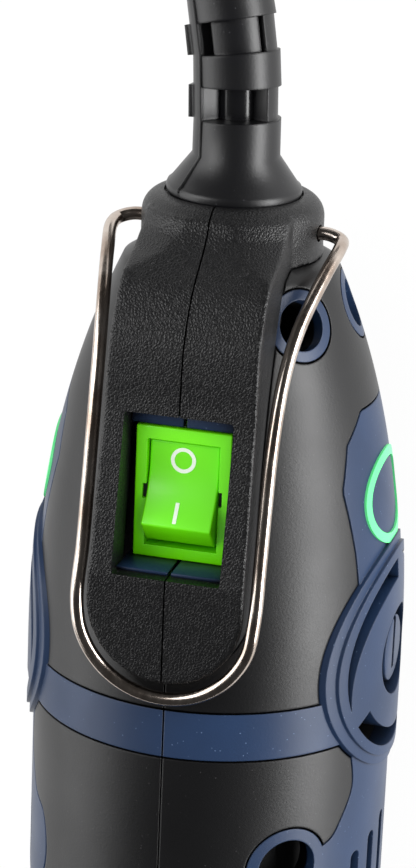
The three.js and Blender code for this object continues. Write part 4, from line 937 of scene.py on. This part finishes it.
# The neck's collar and the pod are one soft moulding, with its edges rounded together.
def makePod():
    top = smoothLine([(s, 0, height) for s, height in pod["neck"]]
                     + [(s, 0, radiusAt(s) + rise) for s, rise in pod["rise"]], 4)
    tip = pod["endCentre"] + pod["half"] + 1
    outline = [(p.x, p.z) for p in top] + [(tip, top[-1].z), (tip, 3.5), (top[0].x, 3.5)]
    crown = cleanUp(pulled("podCrown", outline, -20, 20, "Y"))
    overlapOf(crown, cleanUp(pulled("podPlan", podOutline(), 0, far, "Z")),
              turned("cornerClip", [(0, 0), *pod["corners"], (90, 40), (90, 0)], 96))
    joined(crown, bodySolid("collar", 0, 0, body["shoulderStart"] - 0.9))
    cutFrom(crown, bodySolid("hollow", body["skin"] - body["gap"], 1.6, 90, 96))
    moulded(crown, 0.34, 8)
    cutFrom(crown, rod("flangeSeat", *pod["flangeSeat"], 96, "X"), rod("leadBore", *pod["leadBore"], 64, "X"),
            rod("bailHole", bail["wire"] + body["gap"], -far, far, 24, "Y",
                (bail["station"], 0, bail["height"])))
    half, wide, at = pod["recessLength"] / 2, pod["recessWidth"] / 2, pod["recessCentre"]
    well = block("switchWell", at - half, at + half, -wide, wide, 0, far)
    cutFrom(crown, softened(well, 0.5, 2))
    settleHalves(crown, "podShell", "grain_black", "switch_pod", 35)


makePod()


# ---- Rocker switch

switch = {
    "station": 42.0, "face": 23.3, "length": 21.0, "width": 15.0, "thick": 1.5, "bodyLength": 19.0,
    "bodyWidth": 13.0, "bodyDepth": 13.5, "windowRear": 8.45, "windowFront": 8.6, "rockerWidth": 11.0,
    "pivotDepth": 2.9, "notch": [1.2, 6.25],
    "rockerTop": [[-8.1, 1.9], [-5.6, 1.95], [-4, 2.05], [-2.6, 2.3], [-1.2, 2.75], [0.2, 3.4], [1.6, 4.25],
                  [2.9, 5.15], [4.2, 6.1]],
    "rockerBelow": [[7.65, 2.9], [7.9, -1.5], [4.7, -3.6], [-4.7, -3.6], [-7.9, -1.5]],
    "offMark": [36.7, -0.2], "offRadius": 1.68, "onMark": [44.26, -0.33], "onLength": 2.75, "stroke": 0.58,
    "markThick": 0.06,
    "ledges": {"rearLedge": [28.7, 31.3, 21.6, 22.9], "frontLedge": [52.5, 53.1, 21.6, 28.9]}}


def makeBezel():
    at, face, under = switch["station"], switch["face"], switch["face"] - switch["thick"]
    half, wide = switch["length"] / 2, switch["width"] / 2
    plate = softened(block("switchBezel", at - half, at + half, -wide, wide, under, face), 0.25)
    half, wide = switch["bodyLength"] / 2, switch["bodyWidth"] / 2
    low = face - switch["bodyDepth"]
    joined(plate, block("switchCase", at - half, at + half, -wide, wide, low, under + 0.1))
    wide = switch["rockerWidth"] / 2 + 0.2
    rear, front = at - switch["windowRear"], at + switch["windowFront"]
    long, reach = switch["notch"]
    cutFrom(plate, block("window", rear, front, -wide, wide, face - 11.1, far),
            block("notch", at - long, at + long, -reach, reach, face - 2.6, far))
    settle(plate, "green_plastic", ["switch_body"], 30)
    long, reach = long - 0.02, reach - 0.02
    # Near-black blocks down in the rocker's pivot notches: painted shade in the gaps beside the rocker.
    shade = block("pivotNotchShade", at - long, at + long, -reach, reach, face - 2.55, face - 0.6)
    cutFrom(shade, block("between", at - 9, at + 9, -wide, wide, 0, far))
    settle(shade, "black_plastic", smooth=30)


# Lays a thin printed mark onto the rocker's curved face.
def placeMark(mark, station, across):
    along, height = np.array(switch["rockerTop"]).T
    pivot = switch["face"] - switch["pivotDepth"]

    def drape(at):
        at[:, 2] += np.interp(at[:, 0] - switch["station"], along, height) + pivot + switch["markThick"] / 2
        return at
    sculpt(shift(mark, (station, across, 0)), drape)
    settle(mark, None, smooth=30, bodyName="rocker", material=white)


def makeRocker():
    pivot = switch["face"] - switch["pivotDepth"]
    outline = [(switch["station"] + x, pivot + z) for x, z in switch["rockerTop"] + switch["rockerBelow"]]
    wide = switch["rockerWidth"] / 2
    rocker = softened(pulled("rocker", outline, -wide, wide, "Y"), 0.32, 4, 20)
    settle(rocker, "green_plastic", ["switch_rocker"], 40, "rocker")
    half, thick, length = switch["stroke"] / 2, switch["markThick"] / 2, switch["onLength"] / 2
    inner, outer = switch["offRadius"] - half, switch["offRadius"] + half
    circle = ring("offMark", [(-thick, inner), (-thick, outer), (thick, outer), (thick, inner)], 64, "Z")
    placeMark(circle, *switch["offMark"])
    stripe = block("onMark", -length, length, -half, half, -thick, thick)
    editAll(stripe, bpy.ops.mesh.subdivide, number_cuts=12)
    placeMark(stripe, *switch["onMark"])


# Blue-grey steps of the shell that show at both ends of the well, parted by the joint.
def makeLedges():
    half = pod["recessWidth"] / 2 - 0.1
    for side in (-1, 1):
        near, out = sorted((side * body["split"], side * half))
        for stem, (start, end, low, high) in switch["ledges"].items():
            ledge = block(nodesFor(side, stem), start, end, near, out, low, high)
            settle(softened(ledge, 0.15, 2), "blue_shell", smooth=30)


makeBezel()
makeRocker()
makeLedges()
print("pod and switch made")


# ---- Hanging bail: one bent wire

def asMesh(curve):
    pick(curve)
    bpy.ops.object.convert(target="MESH")
    return bpy.context.object


def bailLine():
    leg = [(s, bail["out"] + out, radiusAt(s) + rise) for s, out, rise in bail["leg"]]
    centre, radius, height = bail["bendCentre"], bail["bendRadius"], bail["bendHeight"]
    bend = [(centre + radius * math.cos(a), radius * math.sin(a), height)
            for a in (math.radians(90 - 22.5 * i) for i in range(4))]
    half = [tuple(p) for p in bail["foot"]] + leg + bend
    return smoothLine(half + [(centre + radius, 0, height)] + [(x, -y, z) for x, y, z in reversed(half)], 10)


def makeBail():
    loop = asMesh(barAlong("hangingWire", bailLine(), bail["wire"]))
    settle(loop, "bright_steel", ["hanging_bail"], bodyName="bail", material=wire)


makeBail()


# ---- Strain relief: turned and slotted straight, then laid along the lead

relief = {
    "profile": [[0.35, 0], [0.35, 10.1], [0.1, 10.4], [-0.8, 10.5], [-1.3, 10.3], [-1.6, 9.9],
                [-5.9, 6.75], [-11.5, 6.7], [-21.5, 6.65], [-31.5, 6.5], [-41.2, 6.35], [-41.9, 5.9],
                [-42.1, 5], [-42.1, 0]],
    "firstSlot": 11.5, "pitch": 10.0, "slotLength": 5.0, "slots": 3, "bore": 3.42, "neck": 5.9, "foot": 8.6,
    "spine": [-141, -39], "rearBridge": [62, 118], "frontBridge": [-21, 57], "frontFloor": 5.7,
    "rearFloor": 6.2, "toothHeight": 7.15, "toothHalf": 2.2, "line": 0.24}


# A wedge round the lead between two angles, from the top towards the right.
def wedge(start, end, low, high, inner=0.0):
    steps = max(3, int((end - start) / 8))
    angles = [math.radians(start + (end - start) * i / steps) for i in range(steps + 1)]
    outer = [(10 * math.sin(a), 10 * math.cos(a)) for a in angles]
    near = [(inner * math.sin(a), inner * math.cos(a)) for a in reversed(angles)] if inner else [(0, 0)]
    return cleanUp(pulled("wedge", outer + near, low, high, "X"))


# Carries a straight piece round the lead's bends. Its own X axis runs back along the lead.
def alongLead(piece):
    line = np.array([tuple(p) for p in leadLine])
    reach = np.concatenate([[0], np.cumsum(np.linalg.norm(np.diff(line, axis=0), axis=1))])

    def pointAt(distance):
        return np.stack([np.interp(distance, reach, line[:, k]) for k in range(3)], axis=1)

    def move(at):
        out = np.clip(-at[:, 0], 0, None)
        ahead = pointAt(np.clip(out - 1, 0, None)) - pointAt(out + 1)
        ahead /= np.linalg.norm(ahead, axis=1, keepdims=True)
        across = np.stack([-ahead[:, 1], ahead[:, 0], np.zeros(len(at))], axis=1)
        across /= np.linalg.norm(across, axis=1, keepdims=True)
        above = np.cross(ahead, across)
        return pointAt(out) + ahead * (at[:, :1] + out[:, None]) + across * at[:, 1:2] + above * at[:, 2:3]
    return sculpt(piece, move)


# Low mould line down the spine's front edge, following the sleeve's own profile.
def mouldLine():
    angle = math.radians(relief["spine"][1])
    points = [(x, r + 0.1) for x, r in relief["profile"] if -42 <= x <= -0.6]
    rail = [(x, r * math.sin(angle), r * math.cos(angle)) for x, r in points]
    return cleanUp(asMesh(barAlong("mouldLine", rail, relief["line"], 2)))


def makeRelief():
    sleeve = turned("strainRelief", relief["profile"], 128)
    spineLow, spineHigh = relief["spine"]
    rearLow, rearHigh = relief["rearBridge"]
    frontLow, frontHigh = relief["frontBridge"]
    for i in range(relief["slots"]):
        start = relief["firstSlot"] + relief["pitch"] * i
        span = (-start - relief["slotLength"], -start)
        cutFrom(sleeve, wedge(rearHigh, spineLow + 360, *span))
        if i % 2 == 0:
            cutFrom(sleeve, wedge(spineHigh, rearLow, *span))
        else:
            cutFrom(sleeve, wedge(spineHigh, frontLow, *span), wedge(frontHigh, rearLow, *span),
                    wedge(frontLow - 1, frontHigh + 1, *span, relief["frontFloor"]))
        cutFrom(sleeve, wedge(rearLow - 1, rearHigh + 1, *span, relief["rearFloor"]))
        half = relief["toothHalf"]
        joined(sleeve, block("tooth", *span, -relief["toothHeight"], -5, -half, half))
    joined(sleeve, mouldLine())
    bore, neck, foot = relief["bore"], relief["neck"], relief["foot"]
    cutFrom(sleeve, rod("bore", bore - 0.03, -50, 5, 48, "X"))
    joined(sleeve, ring("innerNeck", [(0.3, bore), (0.3, neck), (4.6, neck), (4.6, foot), (6.5, foot),
                                      (6.5, bore)], 64))
    settle(alongLead(sleeve), "rubber", ["strain_relief"], 40)


makeRelief()
settle(asMesh(barAlong("leadInside", [(27, 0, 0), (12, 0, 0), (0.2, 0, 0)], lead["radius"], 5)), "cable")
print("bail and strain relief made")


# ---- Brush caps and badge rings on both sides

def mirrorTo(side, piece):
    if side < 0:
        pick(piece)
        piece.scale = (1, -1, 1)
        bpy.ops.object.transform_apply(location=False, rotation=False, scale=True)
        editAll(piece, bpy.ops.mesh.normals_make_consistent, inside=False)
    return piece


brushCap = {"seat": 23.7, "flange": 6.95, "flangeTop": 26.9, "radius": 5.4, "proud": 0.35, "slotEnd": 3.4,
            "slotDepth": 1.6, "slotHalf": 0.75}


def makeBrushCap(side):
    at, top, radius = vent["station"], body["radius"] + brushCap["proud"], brushCap["radius"]
    seat, flange, ledge = brushCap["seat"], brushCap["flange"], brushCap["flangeTop"]
    cap = turned("cap", [
        (seat, 0), (seat, flange), (ledge - 0.3, flange), (ledge, flange - 0.3), (ledge, radius),
        (top - 0.5, radius), (top - 0.15, radius - 0.15), (top, radius - 0.5), (top, 0)], 96, "Y", (at, 0, 0))
    floor, half = top - brushCap["slotDepth"], brushCap["slotHalf"]
    slot = block("coinSlot", at - radius - 1, at + brushCap["slotEnd"], floor, far, -half, half)
    cutFrom(cap, softened(slot, 0.2, 2))
    settle(mirrorTo(side, cap), "blue_shell", [nodesFor(side, "brush_cap")], 35)


badge = {"station": 45.8, "halfLength": 7.4, "halfHeight": 9.6, "width": 1.5, "rise": 0.35}


def makeBadge(side):
    def oval(inset):
        length, height = badge["halfLength"] - inset, badge["halfHeight"] - inset
        return [(badge["station"] + length * math.cos(a), height * math.sin(a))
                for a in (2 * math.pi * i / 72 for i in range(72))]
    loop = pulled(nodesFor(side, "badgeRing"), oval(0), 5, 50, "Y")
    cutFrom(loop, pulled("middle", oval(badge["width"]), 0, far, "Y"))
    overlapOf(loop, bodySolid("outside", -badge["rise"], 30, 62))
    cutFrom(loop, bodySolid("inside", 0.5, 25, 68))
    settle(mirrorTo(side, loop), None, smooth=35, material=badgeGreen)


for side in (-1, 1):
    makeBrushCap(side)
    makeBadge(side)


# ---- Nose: cap, spindle lock, collet and its nut

def makeNoseCap():
    start, end, radius, bore = nose["capStart"], nose["capEnd"], nose["capRadius"], nose["bore"]
    seat, shoulder = nose["collar"] + body["gap"], nose["collarEnd"]
    cap = ring("noseRing", [
        (start, seat), (start, radius - 0.4), (start + 0.4, radius), (end - 1.2, radius),
        (end - 0.4, radius - 0.4), (end, radius - 1.2), (end, bore), (shoulder, bore), (shoulder, seat)], 120)
    for i in range(nose["flutes"]):
        flute = rod("flute", 0.75, start + 2.2, end - 2.2, 12, "X", (0, 0, radius + 0.35))
        cutFrom(cap, spin(flute, 360 * i / nose["flutes"], "X"))
    settle(cap, "black_plastic", ["nose_cap"], 35)


def makeNut():
    start, radius, length = nose["nutStart"], nose["nutRadius"], nose["nutLength"]
    hexEnd, end, bore, throat = start + length * 0.6, start + length, nose["nutBore"], nose["nutThroat"]
    nut = ring("clampNut", [
        (start, bore), (start, radius - 0.5), (start + 0.5, radius), (hexEnd, radius),
        (hexEnd + 1, radius - 1.2), (end - 0.4, radius - 2), (end, radius - 2.4), (end, throat + 0.15),
        (end - 0.5, throat), (start + 12, throat), (start + 12, bore)], 96)
    across = radius * 0.92
    for turn in (0, 60, 120):
        for side in (-1, 1):
            slab = block("flat", start - 1, hexEnd, *sorted((side * across, side * 20)), -20, 20)
            cutFrom(nut, spin(slab, turn, "X"))
    settle(nut, "dark_steel", ["collet_nut"], 30, "collet_nut")


def makeCollet():
    tip, radius, bore = nose["tip"], nose["colletRadius"], nose["colletBore"]
    base = tip - nose["colletLength"]
    sleeve = ring("splitCollet", [(base, bore), (base, radius), (tip - 0.5, radius), (tip, radius - 0.5),
                                  (tip, bore + 0.2), (tip - 0.2, bore)], 64)
    for turn in (0, 60, 120):
        cutFrom(sleeve, spin(block("split", tip - 12, tip + 2, -0.18, 0.18, -5, 5), turn, "X"))
    settle(sleeve, "bright_steel", ["collet"], 30, "spindle")


def makeLockButton():
    at, radius, top = nose["lockStation"], nose["lockRadius"], nose["lockTop"]
    foot, pin, room = nose["lockFoot"], nose["lockPin"], nose["springRoom"]
    roof, place = top - 0.6, (at, 0, 0)
    button = turned("lockButton", [(foot, 0), (foot, radius), (top - 0.7, radius), (top - 0.2, radius - 0.3),
                                   (top, radius - 0.9), (top + 0.1, 0)], 64, "Z", place)
    for across in (-1.8, -0.6, 0.6, 1.8):
        cutFrom(button, block("grip", at - 3, at + 3, across - 0.25, across + 0.25, top - 0.35, far))
    cutFrom(button, ring("springRoom", [(foot - 0.7, pin), (foot - 0.7, room), (roof, room), (roof, pin)], 32,
                         "Z", place))
    joined(button, rod("lockPin", pin, nose["lockPinEnd"], roof + 0.05, 32, "Z", place))
    settle(button, "grain_black", ["spindle_lock_button"], 35, "lock_button")


makeNoseCap()
makeNut()
makeCollet()
makeLockButton()


# ---- Speed dial, housing screws

def makeDial():
    half, radius, shaft = dial["width"] / 2, dial["radius"], dial["shaft"]
    wheel = ring("speedWheel", [(-half, shaft), (-half, radius - 0.4), (-half + 0.4, radius),
                                (half - 0.4, radius), (half, radius - 0.4), (half, shaft)], 96, "Y")
    for i in range(dial["teeth"]):
        notch = rod("notch", 0.6, -5, 5, 10, "Y", (0, 0, radius + 0.25))
        cutFrom(wheel, spin(notch, 360 * i / dial["teeth"], "Y"))
    shift(wheel, (dial["station"], 0, dial["centre"]))
    settle(wheel, "black_plastic", ["speed_dial"], 35, "speed_dial")


def makeScrew(name, station, height):
    place = (station, 0, height)
    screw = turned("screw_" + name, [(-10.2, 0), (-10.2, 2.1), (-9.9, 2.5), (-8.4, 2.7), (-8.3, 1.5),
                                     (5, 1.5), (6, 0)], 40, "Y", place)
    for turn in (0, 90):
        bar = spin(block("cross", -1.9, 1.9, -11, -9, -0.35, 0.35), turn + 20, "Y")
        cutFrom(screw, shift(bar, place))
    settle(screw, "dark_steel", ["screw_" + name], 30)


makeDial()
for name, place in screws.items():
    makeScrew(name, *place)


# ---- Plug and hank tie

plug = {
    "neck": [[0, 0], [0, 4.3], [0.4, 4.6], [9, 5.6], [13, 8.6], [16, 10.4], [19, 11.5], [23, 12.4],
             [27, 13.4], [29, 15.6], [29.8, 17.2], [30.6, 17.6], [36.4, 17.6], [37.6, 17.1], [38, 16.3],
             [38, 0]],
    "start": 0.3, "rim": [17.6, 30.0], "hollowRadius": 3.2, "hollowOut": 18.3, "pinRadius": 2.4,
    "pinHalfPitch": 9.5, "pinReach": 19.0, "socket": 5.7, "ribs": 3, "ribRadius": 4.2}
tie = {"half": 6.0, "near": 19.05, "out": 34.8, "thick": 0.7, "high": 15.7}


def placePlug(piece):
    end = tailLine[-1]
    ahead = (tailLine[-1] - tailLine[-2]).normalized()
    radius, along = plug["rim"]
    tilt = math.atan2(radius, along) - math.asin((end.z + axisZ) / math.hypot(radius, along))
    spin(piece, -math.degrees(tilt), "Y")
    spin(piece, math.degrees(math.atan2(ahead.y, ahead.x)), "Z")
    return shift(piece, tuple(end))


def makePlug():
    start, radius, pitch = plug["start"], plug["pinRadius"], plug["pinHalfPitch"]
    moulding = turned("plugBody", [(start + x, r) for x, r in plug["neck"]], 96)
    for side in (-1, 1):
        hollow = (0, 0, side * plug["hollowOut"])
        cutFrom(moulding, rod("gripHollow", plug["hollowRadius"], 21, far, 32, "X", hollow),
                rod("pinHole", radius + 0.12, 32.4, far, 32, "X", (0, side * pitch, 0)))
    for i in range(plug["ribs"]):
        at, floor = start + 2 + 2.4 * i, plug["ribRadius"] + 0.25 * i
        cutFrom(moulding, ring("rib", [(at, floor), (at, 8), (at + 1, 8), (at + 1, floor)], 48))
    settle(placePlug(moulding), "rubber", ["mains_plug"], 35)
    face = start + plug["neck"][-1][0]
    near, tip = face - plug["socket"], face + plug["pinReach"]
    for side, letter in ((-1, "a"), (1, "b")):
        pin = turned("pin_" + letter, [(near, 0), (near, radius), (tip - 1.4, radius), (tip - 0.5, 2.0),
                                       (tip, 1.2), (tip, 0)], 48, "X", (0, side * pitch, 0))
        settle(placePlug(pin), "brass", ["plug_pin_" + letter], 35)


def makeTie():
    half, thick, near, out, high = (tie[key] for key in ("half", "thick", "near", "out", "high"))
    strap = softened(block("hankStrap", -half, half, near, out, 0, high), 2.2, 5)
    hollow = block("strapInside", -half * 2, half * 2, near + thick, out - thick, thick, high - thick)
    cutFrom(strap, softened(hollow, 1.6, 5))
    joined(strap, softened(block("strapLap", -half + 0.2, half - 0.2, out - 0.1, out + 0.6, 4, 12), 0.3, 2))
    shift(strap, (hankCentre.x, hankCentre.y, -axisZ))
    settle(strap, "fabric_tie", ["hank_tie"], 35)


makePlug()
makeTie()
print("nose, sides, plug and tie made")
